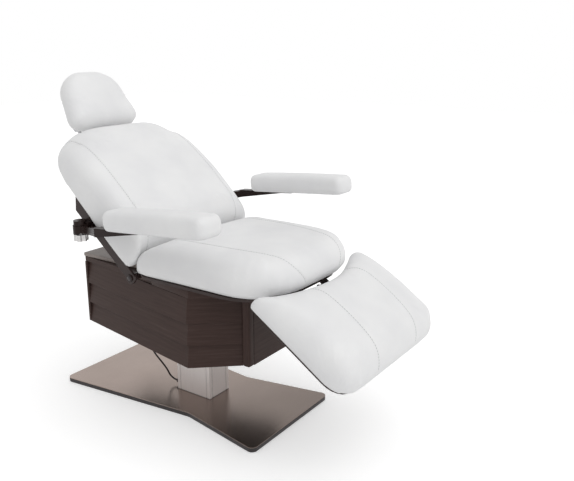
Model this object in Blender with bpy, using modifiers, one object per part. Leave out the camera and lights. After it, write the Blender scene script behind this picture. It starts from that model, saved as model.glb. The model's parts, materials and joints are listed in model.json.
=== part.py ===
"""Powered patient recliner: a padded seat, back, foot rest, head rest and two arm pads on a slatted
cabinet, lifted by a telescopic column that stands on a waisted floor plate.

Metres, +Z up. The origin lies on the floor under the middle of the floor plate. The patient's feet
point along -Y and the patient's right hand is at -X.
"""
import math

import bmesh
import bpy
from mathutils import Matrix, Vector

for old in list(bpy.data.objects):
    bpy.data.objects.remove(old, do_unlink=True)

# Clearances
TOUCH = 0.0003
SLIDE = 0.0004
RUNNING = 0.0005
OVERSHOOT = 0.01

# Floor plate
PLATE_LENGTH = 0.95
PLATE_WIDTH = 0.48
PLATE_WAIST = 0.352
PLATE_WAIST_Y = -0.13
PLATE_CORNER = 0.022
PLATE_THICK = 0.016
SKIN_THICK = 0.003

# Lifting column
COLUMN_X = 0.112
COLUMN_Y = 0.164
COLUMN_MID_Y = -0.049
COLUMN_WALL = 0.005
COLUMN_OUTER_TOP = 0.40
COLUMN_MIDDLE_TOP = 0.445
COLUMN_STEP = 0.03
COLUMN_GROOVE = 0.004
COLUMN_GROOVE_DEPTH = 0.0016
COLUMN_GROOVE_INSET = 0.016
SCREW_RADIUS = 0.008
NUT_TUBE_RADIUS = 0.020
NUT_TUBE_TOP = 0.36
MOTOR_RADIUS = 0.030
MOTOR_HEIGHT = 0.055
SCREW_FLOOR = 0.020
NUT_FLOOR = 0.012

# Chassis and cabinet
CHASSIS_PLATE_Z = 0.492
CHASSIS_PLATE_THICK = 0.0077
CHASSIS_PLATE_X = 0.148
CHASSIS_PLATE_Y = 0.30
DECK_Z = 0.50
DECK_THICK = 0.020
CABINET_BOTTOM = 0.25
CABINET_REAR_Y = 0.415
CABINET_REAR_HALF = 0.152
CABINET_WIDE_Y = -0.212
CABINET_WIDE_HALF = 0.256
POST_MID_X = 0.122
POST_MID_Y = -0.371
POST_SIDE = 0.032
POST_ROUND = 0.009
PANEL_THICK = 0.012
FRONT_SETBACK = 0.003
ROD_HOLE_ROOM = 0.003
COLUMN_ROOM = 0.012
SLAT_END_SHARE = 0.6
DECK_GAP = 0.003
DECK_REAR_INSET = 0.004
LEVER_SLOT_FRONT = 0.115
LEVER_SLOT_REAR = 0.05
EDGE_ROUND = 0.002
SLAT_COUNT = 3
SLAT_LAP = 0.006
SLAT_LEAN = 0.013
SLAT_THICK = 0.009
FLOOR_THICK = 0.010
FLOOR_INSET = 0.034
REAR_TOP_FRONT_Y = 0.085
REAR_TOP_THICK = 0.014
REAR_TOP_LIP = 0.002
CONTROL_BOX = (0.085, 0.17, 0.055)
CONTROL_BOX_AT = (0.045, 0.17)

# Rolled edges and sewn channels of the pads
# Cushion edges: plan radius at the front and rear, then the rolls of the top and base edges as
# their reach inwards at the sides, front and rear and their height at the sides, front and rear
SIDE_DRAW = 0.004
SEAT_CORNERS = (0.20, 0.06)
SEAT_TOP_ROLL = (0.06, 0.07, 0.17, 0.07, 0.07, 0.105)
SEAT_BASE_ROLL = (0.038, 0.075, 0.012, 0.045, 0.05, 0.014)
BACK_CORNERS = (0.05, 0.18)
BACK_TOP_ROLL = (0.055, 0.105, 0.115, 0.07, 0.13, 0.095)
BACK_BASE_ROLL = (0.03, 0.012, 0.035, 0.03, 0.014, 0.03)
HEAD_DRAW = 0.002
HEAD_CORNERS = (0.055, 0.07)
HEAD_TOP_ROLL = (0.045, 0.045, 0.05, 0.045, 0.045, 0.05)
HEAD_BASE_ROLL = (0.03, 0.03, 0.03, 0.03, 0.03, 0.03)
ARM_PAD_DRAW = 0.001
ARM_PAD_CORNERS = (0.045, 0.035)
ARM_PAD_TOP_ROLL = (0.022, 0.03, 0.022, 0.026, 0.026, 0.026)
ARM_PAD_BASE_ROLL = (0.016, 0.024, 0.016, 0.022, 0.022, 0.022)
FOOT_DRAW = 0.003
FOOT_CORNERS = (0.085, 0.02)
FOOT_TOP_ROLL = (0.065, 0.085, 0.13, 0.075, 0.075, 0.063)
FOOT_BASE_ROLL = (0.005, 0.02, 0.005, 0.006, 0.015, 0.006)
ROLL_TURNS = (30, 60, 90)
CORNER_BLEND = 6
MOST_ROLL = 0.96
SEAM_DEPTH = 0.004
SEAM_WIDE = 0.006

# Seat
SEAT_BOARD_Z = 0.540
SEAT_BOARD_THICK = 0.011
SEAT_BOARD_HALF = 0.256
SEAT_BOARD_FRONT_Y = -0.512
SEAT_BOARD_REAR_Y = -0.006
SEAT_BOARD_CORNER = 0.15
BOARD_CORNER = 0.02
SEAT_RAIL_X = 0.17
SEAT_RAIL_WIDTH = 0.03
SEAT_RAIL_FRONT_Y = -0.34
SEAT_RAIL_REAR_Y = -0.05
SEAT_HALF = 0.292
SEAT_FRONT_Y = -0.596
SEAT_REAR_Y = 0.0
SEAT_THICK = 0.122
SEAT_CROWN = 0.014
SEAT_SEAM_X = 0.185

# Back rest
BACK_PIVOT_Y = 0.03
BACK_PIVOT_Z = 0.535
BACK_RISE = math.radians(43.2)
BACK_SHAFT_RADIUS = 0.012
BACK_BEARING_X = 0.205
BACK_BEARING_WIDTH = 0.024
BACK_BEARING_REACH = 0.022
BACK_BEARING_TOP = 0.020
BACK_BAR_X = 0.262
BACK_BAR_THICK = 0.010
BACK_BAR_WIDTH = 0.036
BACK_BAR_TOP = 0.375
BACK_BAR_FOOT = -0.020
BACK_BAR_EYE = 0.022
BACK_SHAFT_PROUD = 0.004
BACK_BOARD_CORNER = 0.18
BACK_BOARD_OFFSET = 0.022
BACK_BOARD_THICK = 0.012
BACK_BOARD_START = 0.035
BACK_BOARD_END = 0.545
BACK_HALF = 0.302
BACK_START = 0.045
BACK_END = 0.577
BACK_THICK = 0.147
BACK_CROWN = 0.014
BACK_SEAM_X = 0.238
BACK_LEVER_X = -0.10
BACK_LEVER_Y = 0.030
BACK_LEVER_DROP = 0.115
LEVER_THICK = 0.010
LEVER_PIN_RADIUS = 0.006
LEVER_PIN_PROUD = 0.004
BACK_LEVER_WIDTH = 0.022

# Head rest
HEAD_STEM_X = 0.060
HEAD_STEM_RADIUS = 0.007
HEAD_STEM_LENGTH = 0.21
HEAD_SOCKET_START = 0.40
HEAD_SOCKET_END = 0.53
HEAD_SOCKET_SIDE = 0.024
HEAD_YOKE_HALF = 0.085
HEAD_LUG_HALF = 0.009
HEAD_LUG_REACH = 0.010
HEAD_LUG_DEEP = 0.011
HEAD_CLAMP_HALF = 0.035
HEAD_CLAMP_REACH = 0.016
HEAD_CLAMP_DEEP = 0.014
HEAD_CLAMP_LET_IN = 0.004
HEAD_CROWN = 0.010
HEAD_PIVOT_UP = 0.675
HEAD_PIVOT_OUT = 0.037
HEAD_RISE = math.radians(57.0)
HEAD_HALF_LOW = 0.168
HEAD_HALF_HIGH = 0.120
HEAD_HEIGHT = 0.222
HEAD_DROP = 0.050
HEAD_THICK = 0.085
HEAD_BOARD_THICK = 0.010
HEAD_BOARD_INSET = 0.03
HEAD_BOARD_CORNER = 0.03
HEAD_STANDOFF = 0.022

# Arm rests
ARM_SWIVEL_X = 0.306
ARM_SWIVEL_Y = 0.232
ARM_SWIVEL_Z = 0.692
ARM_BOSS_RADIUS = 0.019
ARM_BOSS_HEIGHT = 0.030
ARM_LUG_FRONT = -0.040
ARM_LUG_REAR = 0.012
ARM_LUG_LOW = 0.004
ARM_LUG_HIGH = 0.026
ARM_BOSS_BORE = 0.022
ARM_HUB_RADIUS = 0.024
ARM_HUB_THICK = 0.012
ARM_BAR_WIDTH = 0.034
ARM_BAR_THICK = 0.011
ARM_TONGUE = 0.062
ARM_PAD_X = 0.385
ARM_PAD_FRONT_Y = -0.463
ARM_PAD_REAR_Y = -0.020
ARM_PAD_REAR_Z = 0.780
ARM_PAD_RISE = math.radians(5.2)
ARM_PAD_HALF = 0.054
ARM_PAD_THICK = 0.056
ARM_BOARD_THICK = 0.006
ARM_BOARD_INSET = 0.016
ARM_BOARD_CORNER = 0.03
ARM_PAD_CROWN = 0.004
ARM_PLATE_REAR = -0.070
ARM_PLATE_LENGTH = 0.19
ARM_PLATE_THICK = 0.0077
ARM_TONGUE_HALF = 0.0153
KNOB_RADIUS = 0.026
KNOB_LOBE = 0.005
KNOB_LOBES = 6
KNOB_HEIGHT = 0.016
KNOB_DROP = 0.008
KNOB_STEPS = 48
KNOB_COLLAR = 0.010
KNOB_SINK = 0.004
BOLT_RADIUS = 0.005
BOLT_REACH = 0.018

# Foot rest
FOOT_PIVOT_Y = -0.495
FOOT_PIVOT_Z = 0.520
FOOT_FALL = math.radians(33.9)
FOOT_TOP_Y = -0.516
FOOT_TOP_Z = 0.549
FOOT_HALF = 0.314
FOOT_LENGTH = 0.400
FOOT_START = 0.004
FOOT_THICK = 0.097
FOOT_CROWN = 0.024
FOOT_SEAM_X = 0.130
FOOT_HOLLOW = 0.056
FOOT_BOARD_THICK = 0.010
FOOT_BOARD_INSET = 0.014
FOOT_BOARD_TOP_CORNER = 0.03
FOOT_BOARD_END_CORNER = 0.07
FOOT_EAR_X = 0.150
FOOT_EAR_THICK = 0.010
FOOT_EAR_SIDE = 0.026
FOOT_PIN_RADIUS = 0.007
FOOT_EAR_LENGTH = 0.06
FOOT_PIN_PROUD = 0.003
FOOT_ARM_THICK = 0.010
FOOT_ARM_HALF = 0.013
FOOT_BAR_NEAR = 0.07
FOOT_BAR_FAR = 0.11
FOOT_BAR_THICK = 0.014
FOOT_ARM_END = 0.10
FOOT_RISE_NEAR = 0.05
FOOT_TUBE_AT = 0.03
FOOT_TUBE_RADIUS = 0.010
FOOT_LEVER_WIDTH = 0.020
FOOT_LEVER_X = 0.097
FOOT_LEVER_Y = -0.0272
FOOT_LEVER_DROP = 0.0879

# Actuators
ACTUATOR_RADIUS = 0.020
ROD_RADIUS = 0.0078
ROD_EYE_HEIGHT = 0.042
ROD_EYE_LENGTH = 0.030
ROD_EYE_THICK = 0.016
ROD_SLOT_HALF = 0.013
ROD_HELD = 0.08
BACK_ACTUATOR_REAR = -0.335
BACK_ACTUATOR_FRONT = -0.075
FOOT_ACTUATOR_REAR = 0.10
FOOT_ACTUATOR_FRONT = -0.30
BACK_ROD_Z = 0.4215
FOOT_ROD_Z = 0.434
ACTUATOR_FOOT_SIDE = 0.03
ACTUATOR_FOOT_HALF = 0.012
ACTUATOR_FOOT_START = 0.004
ACTUATOR_BORE_START = 0.03
ROD_SHANK_LAP = 0.012
ROD_SLOT_ROOM = 0.0015

# Lead from the cabinet to a plug in the column's rear face
LEAD_RADIUS = 0.0033
LEAD_GLAND_RADIUS = 0.009
LEAD_TOP_GLAND_TAPER = 0.6
LEAD_PLUG_RADIUS = 0.0085
LEAD_PLUG_TAPER = 0.8
LEAD_ROUTE = [
    (-0.0300, 0.0600, 0.0360),
    (-0.0300, 0.0640, 0.0360),
    (-0.0318, 0.0765, 0.0393),
    (-0.0365, 0.0860, 0.0485),
    (-0.0431, 0.0895, 0.0615),
    (-0.058, 0.087, 0.088),
    (-0.080, 0.082, 0.118),
    (-0.101, 0.080, 0.147),
    (-0.118, 0.083, 0.174),
    (-0.129, 0.088, 0.200),
    (-0.134, 0.091, 0.222),
    (-0.134, 0.091, 0.2317),
]

WHITE = (0.86, 0.86, 0.87)
WENGE = (0.066, 0.050, 0.048)
TAUPE = (0.36, 0.31, 0.28)
BRONZE = (0.33, 0.28, 0.25)
BLACK = (0.012, 0.012, 0.013)
DARK_STEEL = (0.045, 0.036, 0.034)
ALUMINIUM = (0.72, 0.73, 0.74)
STEEL = (0.42, 0.42, 0.43)

parts = bpy.data.collections.new("patient_recliner")
cutters = bpy.data.collections.new("cutters")
bpy.context.scene.collection.children.link(parts)
bpy.context.scene.collection.children.link(cutters)


def material(name, colour, roughness, metallic=0.0):
    made = bpy.data.materials.new(name)
    made.use_nodes = True
    shader = made.node_tree.nodes["Principled BSDF"]
    shader.inputs["Base Color"].default_value = (*colour, 1.0)
    shader.inputs["Roughness"].default_value = roughness
    shader.inputs["Metallic"].default_value = metallic
    return made


LEATHERETTE = material("white_leatherette", WHITE, 0.45)
LAMINATE = material("wenge_laminate", WENGE, 0.45)
PALE_LAMINATE = material("taupe_laminate", TAUPE, 0.4)
PLATE_SKIN = material("brushed_bronze", BRONZE, 0.3, 1.0)
BLACK_PAINT = material("black_paint", BLACK, 0.5)
DARK_PAINT = material("dark_brown_paint", DARK_STEEL, 0.45)
EXTRUSION = material("anodised_aluminium", ALUMINIUM, 0.35, 1.0)
BARE_STEEL = material("zinc_plated_steel", STEEL, 0.35, 1.0)
RUBBER = material("black_rubber", BLACK, 0.7)


def joint_frame(name, at, turn=0.0, parent=None):
    """An empty on a joint's axis, turned about X."""
    frame = bpy.data.objects.new(name, None)
    frame.location = at
    frame.rotation_euler = (turn, 0.0, 0.0)
    frame.parent = parent
    parts.objects.link(frame)
    return frame


def new_object(name, mesh, finish, frame=None, helper=False):
    piece = bpy.data.objects.new(name, mesh)
    (cutters if helper else parts).objects.link(piece)
    piece.parent = frame
    if helper:
        piece.hide_render = True
        piece.display_type = "WIRE"
    elif finish:
        mesh.materials.append(finish)
    return piece


def mesh_from(bm, name):
    mesh = bpy.data.meshes.new(name)
    bm.to_mesh(mesh)
    bm.free()
    return mesh


def box(name, low, high, finish=None, frame=None, round_edges=0.0, helper=False):
    bm = bmesh.new()
    bmesh.ops.create_cube(bm, size=1.0)
    low, high = Vector(low), Vector(high)
    bmesh.ops.scale(bm, vec=high - low, verts=bm.verts)
    bmesh.ops.translate(bm, vec=(low + high) / 2, verts=bm.verts)
    piece = new_object(name, mesh_from(bm, name), finish, frame, helper)
    if round_edges:
        bevel = piece.modifiers.new("round", "BEVEL")
        bevel.width = round_edges
        bevel.segments = 2
    return piece


def rod(name, start, end, radius, finish=None, frame=None, sides=24, helper=False, end_radius=None):
    start, end = Vector(start), Vector(end)
    along = end - start
    bm = bmesh.new()
    bmesh.ops.create_cone(bm, cap_ends=True, segments=sides, radius1=radius,
                          radius2=radius if end_radius is None else end_radius, depth=along.length)
    turn = Vector((0, 0, 1)).rotation_difference(along).to_matrix().to_4x4()
    bmesh.ops.transform(bm, matrix=Matrix.Translation((start + end) / 2) @ turn, verts=bm.verts)
    piece = new_object(name, mesh_from(bm, name), finish, frame, helper)
    piece.data.shade_smooth()
    piece.data.set_sharp_from_angle(angle=math.radians(40))
    return piece


def slab(name, outline, bottom, top, finish=None, frame=None, helper=False):
    """A flat outline in X and Y, extruded from bottom to top."""
    curve = bpy.data.curves.new(name, "CURVE")
    curve.dimensions = "2D"
    curve.fill_mode = "BOTH"
    curve.extrude = (top - bottom) / 2
    spline = curve.splines.new("POLY")
    spline.points.add(len(outline) - 1)
    for point, (x, y) in zip(spline.points, outline):
        point.co = (x, y, 0.0, 1.0)
    spline.use_cyclic_u = True
    drawn = bpy.data.objects.new(name + "_outline", curve)
    cutters.objects.link(drawn)
    bpy.context.view_layer.update()
    mesh = bpy.data.meshes.new_from_object(drawn.evaluated_get(bpy.context.evaluated_depsgraph_get()))
    bpy.data.objects.remove(drawn)
    mesh.name = name
    bm = bmesh.new()
    bm.from_mesh(mesh)
    bmesh.ops.remove_doubles(bm, verts=bm.verts, dist=0.00001)
    bmesh.ops.translate(bm, vec=(0, 0, (top + bottom) / 2), verts=bm.verts)
    bmesh.ops.recalc_face_normals(bm, faces=bm.faces)
    bm.to_mesh(mesh)
    bm.free()
    mesh.materials.clear()
    return new_object(name, mesh, finish, frame, helper)


def boolean(piece, other, operation):
    step = piece.modifiers.new(operation.lower(), "BOOLEAN")
    step.operation = operation
    step.object = other
    return piece


def cut(piece, other):
    return boolean(piece, other, "DIFFERENCE")


def join(piece, other):
    return boolean(piece, other, "UNION")


def rounded(corners, radius, steps=6):
    """An outline with each corner replaced by an arc of its own radius."""
    radii = radius if isinstance(radius, (list, tuple)) else [radius] * len(corners)
    points = []
    for index, corner in enumerate(corners):
        here = Vector(corner)
        before = (Vector(corners[index - 1]) - here).normalized()
        after = (Vector(corners[(index + 1) % len(corners)]) - here).normalized()
        half = before.angle(after) / 2
        reach = radii[index] / math.tan(half)
        centre = here + (before + after).normalized() * (radii[index] / math.sin(half))
        first = here + before * reach - centre
        last = here + after * reach - centre
        sweep = first.angle_signed(last)
        for step in range(steps + 1):
            arm = first.copy()
            arm.rotate(Matrix.Rotation(-sweep * step / steps, 2))
            points.append(tuple(centre + arm))
    return points


def mirrored(points):
    """A right-hand outline from the rear to the front, closed by its left-hand mirror."""
    return points + [(-x, y) for x, y in reversed(points)]


def grid_box(low, high, columns, rows, levels):
    """A closed box cut by planes across X, Y and Z, as the cage of a cushion."""
    bm = bmesh.new()
    bmesh.ops.create_cube(bm, size=1.0)
    low, high = Vector(low), Vector(high)
    bmesh.ops.scale(bm, vec=high - low, verts=bm.verts)
    bmesh.ops.translate(bm, vec=(low + high) / 2, verts=bm.verts)
    for axis, places in enumerate((columns, rows, levels)):
        normal = [0.0, 0.0, 0.0]
        normal[axis] = 1.0
        for place in places:
            at = [0.0, 0.0, 0.0]
            at[axis] = place
            everything = bm.verts[:] + bm.edges[:] + bm.faces[:]
            bmesh.ops.bisect_plane(bm, geom=everything, plane_co=at, plane_no=normal, dist=1e-6)
    return bm


def inner_lines(low, high, low_roll, high_roll, count):
    """Grid places between two ends: a few in each end's roll, the rest spread evenly."""
    places = []
    for turn in ROLL_TURNS:
        share = 1.0 - math.cos(math.radians(turn))
        places += [low + low_roll * share, high - high_roll * share]
    first, last = low + low_roll, high - high_roll
    return places + [first + (last - first) * step / count for step in range(1, count)]


def rolled(share_in, deep):
    """How far a rolled edge has dropped at a share of its width from the edge."""
    reach = 1.0 - max(0.0, min(1.0, share_in))
    return deep * (1.0 - math.sqrt(1.0 - reach * reach))


def cushion(name, half, front, rear, base, thick, crown, draw_in, corners, top_edge, base_edge, seams,
            frame, half_front=None, hollow=0.0, counts=(6, 6)):
    """A padded form: rounded plan, crowned top, sides drawn in, edges rolled, and sewn channels.

    corners is the plan radius at the front and rear. top_edge and base_edge give the roll of the
    edges inwards at the sides, front and rear, then its height at the sides, front and rear.
    hollow draws the rear end in at its middle.
    """
    half_front = half if half_front is None else half_front
    mid, reach = (front + rear) / 2, (rear - front) / 2
    columns = inner_lines(-half, half, top_edge[0], top_edge[0], counts[0])
    for seam in seams:
        columns = [x for x in columns if abs(abs(x) - seam) > 2.5 * SEAM_WIDE]
        columns += [sign * (seam + shift * SEAM_WIDE) for sign in (-1, 1) for shift in (-1.5, 0, 1.5)]
    bm = grid_box((-half, front, 0), (half, rear, thick), columns,
                  inner_lines(front, rear, top_edge[1], top_edge[2], counts[1]), [thick / 3, thick * 2 / 3])
    for vert in bm.verts:
        x, y, z = vert.co
        end = 1 if y < mid else 2
        gap_x, gap_y = half - abs(x), reach - abs(y - mid)
        radius = corners[end - 1]
        over = Vector((radius - gap_x, radius - gap_y))
        plan = Vector((abs(x), abs(y - mid)))
        if over.x > 0 and over.y > 0:
            plan = Vector((half - radius, reach - radius)) + over.normalized() * max(over)
        bends = []
        for edge in (top_edge, base_edge):
            side_bend = rolled(gap_x / edge[0], edge[3])
            end_bend = rolled(gap_y / edge[end], edge[end + 3])
            bends.append((side_bend ** CORNER_BLEND + end_bend ** CORNER_BLEND) ** (1 / CORNER_BLEND))
        fit = min(1.0, MOST_ROLL * thick / max(sum(bends), MOST_ROLL * thick))
        drop, lift = bends[0] * fit, bends[1] * fit
        z = lift + z / thick * (thick - drop - lift)
        along = plan.y / reach
        x = math.copysign(plan.x, x) if abs(x) > 1e-9 else 0.0
        y = mid + math.copysign(plan.y, y - mid)
        x *= 1.0 - draw_in / half * (1.0 - along * along)
        x *= 1.0 + (half_front / half - 1.0) * (rear - y) / (rear - front)
        y -= hollow * max(0.0, 1.0 - (x / half) ** 2) * max(0.0, along if y > mid else 0.0) ** 2
        across = x / half
        swell = max(0.0, 1.0 - across * across) * max(0.0, 1.0 - along * along)
        upper = max(0.0, min(1.0, (z / thick - 0.4) / 0.5))
        z += crown * swell * upper
        for seam in seams:
            away = (abs(vert.co.x) - seam) / SEAM_WIDE
            z -= SEAM_DEPTH * math.exp(-away * away) * upper
        vert.co = (x, y, z + base)
    piece = new_object(name, mesh_from(bm, name), LEATHERETTE, frame)
    piece.data.shade_smooth()
    return piece


# Floor plate with its brushed skin
half_length = PLATE_LENGTH / 2
plate_outline = rounded(
    [(-PLATE_WIDTH / 2, half_length), (-PLATE_WAIST / 2, PLATE_WAIST_Y), (-PLATE_WIDTH / 2, -half_length),
     (PLATE_WIDTH / 2, -half_length), (PLATE_WAIST / 2, PLATE_WAIST_Y), (PLATE_WIDTH / 2, half_length)],
    [PLATE_CORNER, PLATE_CORNER * 3, PLATE_CORNER, PLATE_CORNER, PLATE_CORNER * 3, PLATE_CORNER])
slab("floor_plate", plate_outline, 0.0, PLATE_THICK, BLACK_PAINT)
slab("plate_skin", plate_outline, PLATE_THICK, PLATE_THICK + SKIN_THICK, PLATE_SKIN)
plate_top = PLATE_THICK + SKIN_THICK + TOUCH

# Lifting column: three nested stages, the screw and its nut tube
lift_frame = joint_frame("lift_axis", (0.0, COLUMN_MID_Y, 0.0))


def stage(name, shrink, bottom, top, finish, grooved=False):
    half_x, half_y = COLUMN_X / 2 - shrink, COLUMN_Y / 2 - shrink
    tube = box(name, (-half_x, -half_y, bottom), (half_x, half_y, top), finish, lift_frame)
    low, high = bottom - OVERSHOOT, top + OVERSHOOT
    bore = box(name + "_bore", (-half_x + COLUMN_WALL, -half_y + COLUMN_WALL, low),
               (half_x - COLUMN_WALL, half_y - COLUMN_WALL, high), None, lift_frame, helper=True)
    cut(tube, bore)
    if grooved:
        for side in (-1, 1):
            for end in (-1, 1):
                at_y = end * (half_y - COLUMN_GROOVE_INSET)
                at_x = end * (half_x - COLUMN_GROOVE_INSET)
                deep = COLUMN_GROOVE_DEPTH
                wide = COLUMN_GROOVE / 2
                long_side = box(f"{name}_groove_x{side}{end}", (side * half_x - deep, at_y - wide, low),
                                (side * half_x + deep, at_y + wide, high), None, lift_frame, helper=True)
                short_side = box(f"{name}_groove_y{side}{end}", (at_x - wide, side * half_y - deep, low),
                                 (at_x + wide, side * half_y + deep, high), None, lift_frame, helper=True)
                cut(tube, long_side)
                cut(tube, short_side)
    return tube


stage_step = COLUMN_WALL + SLIDE
chassis_under = CHASSIS_PLATE_Z - TOUCH
stage("column_outer", 0.0, plate_top, COLUMN_OUTER_TOP, EXTRUSION, grooved=True)
stage("column_middle", stage_step, plate_top + COLUMN_STEP, COLUMN_MIDDLE_TOP, EXTRUSION)
stage("column_inner", 2 * stage_step, plate_top + 2 * COLUMN_STEP, chassis_under, EXTRUSION)
motor_base = chassis_under - MOTOR_HEIGHT
nut_tube = rod("lift_nut_tube", (0, 0, plate_top), (0, 0, NUT_TUBE_TOP), NUT_TUBE_RADIUS, BARE_STEEL,
               lift_frame)
cut(nut_tube, rod("nut_bore", (0, 0, plate_top + NUT_FLOOR), (0, 0, NUT_TUBE_TOP + OVERSHOOT),
                  SCREW_RADIUS + RUNNING, None, lift_frame, helper=True))
rod("lift_motor", (0, 0, motor_base), (0, 0, chassis_under), MOTOR_RADIUS, BLACK_PAINT, lift_frame)
rod("lift_screw", (0, 0, plate_top + SCREW_FLOOR), (0, 0, motor_base - TOUCH), SCREW_RADIUS, BARE_STEEL,
    lift_frame, 16)

# Chassis plate and deck
deck_top = DECK_Z + DECK_THICK
box("chassis_plate", (-CHASSIS_PLATE_X / 2, COLUMN_MID_Y - CHASSIS_PLATE_Y / 2, CHASSIS_PLATE_Z),
    (CHASSIS_PLATE_X / 2, COLUMN_MID_Y + CHASSIS_PLATE_Y / 2, CHASSIS_PLATE_Z + CHASSIS_PLATE_THICK),
    DARK_PAINT)

post_half = POST_SIDE / 2
front_face_y = POST_MID_Y - post_half
slat_end = Vector((-POST_MID_X - post_half * SLAT_END_SHARE, POST_MID_Y + post_half + TOUCH))
slat_corner = Vector((-CABINET_WIDE_HALF, CABINET_WIDE_Y))
slat_rear = Vector((-CABINET_REAR_HALF, CABINET_REAR_Y - PANEL_THICK - TOUCH))


def offset_path(path, inwards):
    """The slats' path moved towards the inside of the cabinet, its two ends kept on their planes."""
    first = (path[1] - path[0]).normalized()
    second = (path[2] - path[1]).normalized()
    first_in = Vector((-first.y, first.x))
    second_in = Vector((-second.y, second.x))
    start = path[0] + Vector((inwards / first_in.x, 0.0))
    middle_in = (first_in + second_in).normalized()
    middle = path[1] + middle_in * (inwards / middle_in.dot(first_in))
    end = path[2] + Vector((inwards / second_in.x, 0.0))
    return [start, middle, end]


slat_path = [slat_rear, slat_corner, slat_end]
deck_path = offset_path(slat_path, SLAT_LEAN + SLAT_THICK + DECK_GAP)
deck_outline = [(-CABINET_REAR_HALF + DECK_REAR_INSET, CABINET_REAR_Y)]
deck_outline += [tuple(deck_path[1]), (-POST_MID_X - post_half, POST_MID_Y + post_half)]
deck_outline += [(-POST_MID_X - post_half, front_face_y)]
deck = slab("cabinet_deck", mirrored(deck_outline), DECK_Z, deck_top, LAMINATE)
lever_slot = box("lever_slot",
                 (BACK_LEVER_X - LEVER_THICK, BACK_PIVOT_Y - LEVER_SLOT_FRONT, DECK_Z - OVERSHOOT),
                 (BACK_LEVER_X + LEVER_THICK, BACK_PIVOT_Y + LEVER_SLOT_REAR, deck_top + OVERSHOOT),
                 helper=True)
cut(deck, lever_slot)
box("rear_top_board", (-CABINET_REAR_HALF, REAR_TOP_FRONT_Y, deck_top + TOUCH),
    (CABINET_REAR_HALF, CABINET_REAR_Y + REAR_TOP_LIP, deck_top + TOUCH + REAR_TOP_THICK), PALE_LAMINATE,
    round_edges=EDGE_ROUND)

# Cabinet walls
wall_top = DECK_Z - TOUCH
box("rear_panel", (-CABINET_REAR_HALF, CABINET_REAR_Y - PANEL_THICK, CABINET_BOTTOM),
    (CABINET_REAR_HALF, CABINET_REAR_Y, wall_top), LAMINATE, round_edges=EDGE_ROUND)
panel_front = front_face_y + FRONT_SETBACK
front_panel = box("front_panel", (-POST_MID_X + post_half + TOUCH, panel_front, CABINET_BOTTOM),
                  (POST_MID_X - post_half - TOUCH, panel_front + PANEL_THICK, wall_top), LAMINATE)
foot_rod_x = FOOT_LEVER_X - LEVER_THICK / 2 - RUNNING - ROD_EYE_THICK / 2
cut(front_panel, rod("rod_hole", (foot_rod_x, panel_front - OVERSHOOT, FOOT_ROD_Z),
                     (foot_rod_x, panel_front + PANEL_THICK + OVERSHOOT, FOOT_ROD_Z),
                     ROD_RADIUS + ROD_HOLE_ROOM, helper=True))
for side, hand in ((-1, "right"), (1, "left")):
    post = box(f"corner_post_{hand}",
               (side * POST_MID_X - post_half, POST_MID_Y - post_half, CABINET_BOTTOM),
               (side * POST_MID_X + post_half, POST_MID_Y + post_half, wall_top), LAMINATE,
               round_edges=POST_ROUND)
    post.modifiers["round"].segments = 3

slat_pitch = (wall_top - CABINET_BOTTOM + SLAT_LAP * (SLAT_COUNT - 1)) / SLAT_COUNT
for side, hand in ((-1, "right"), (1, "left")):
    for row in range(SLAT_COUNT):
        bottom = CABINET_BOTTOM + row * (slat_pitch - SLAT_LAP)
        inner = offset_path(slat_path, SLAT_THICK)
        strip = [tuple(p) for p in slat_path] + [tuple(p) for p in reversed(inner)]
        board = slab(f"side_slat_{hand}_{row + 1}", strip, bottom, bottom + slat_pitch, LAMINATE)
        leaned = offset_path(slat_path, SLAT_LEAN)
        leaned += reversed(offset_path(slat_path, SLAT_LEAN + SLAT_THICK))
        for vert in board.data.vertices:
            if vert.co.z > bottom + slat_pitch / 2:
                nearest = min(range(len(strip)), key=lambda i: (Vector(strip[i]) - vert.co.xy).length)
                vert.co.x, vert.co.y = leaned[nearest]
        if side > 0:
            board.data.transform(Matrix.Scale(-1, 4, (1, 0, 0)))
            board.data.flip_normals()

floor_path = offset_path(slat_path, FLOOR_INSET)
floor_outline = [(-CABINET_REAR_HALF + FLOOR_INSET, CABINET_REAR_Y - PANEL_THICK - TOUCH)]
floor_outline += [tuple(floor_path[1]), (-POST_MID_X + post_half + TOUCH, POST_MID_Y + post_half)]
floor_outline += [(-POST_MID_X + post_half + TOUCH, panel_front + PANEL_THICK + TOUCH)]
cabinet_floor = slab("cabinet_floor", mirrored(floor_outline), CABINET_BOTTOM, CABINET_BOTTOM + FLOOR_THICK,
                     LAMINATE)
well_x = COLUMN_X / 2 + COLUMN_ROOM
well_y = COLUMN_Y / 2 + COLUMN_ROOM
cut(cabinet_floor, box("column_well", (-well_x, COLUMN_MID_Y - well_y, CABINET_BOTTOM - OVERSHOOT),
                       (well_x, COLUMN_MID_Y + well_y, CABINET_BOTTOM + FLOOR_THICK + OVERSHOOT),
                       helper=True))
floor_top = CABINET_BOTTOM + FLOOR_THICK + TOUCH
box("control_box", (CONTROL_BOX_AT[0], CONTROL_BOX_AT[1], floor_top),
    (CONTROL_BOX_AT[0] + CONTROL_BOX[0], CONTROL_BOX_AT[1] + CONTROL_BOX[1], floor_top + CONTROL_BOX[2]),
    BLACK_PAINT, round_edges=EDGE_ROUND)

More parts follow.
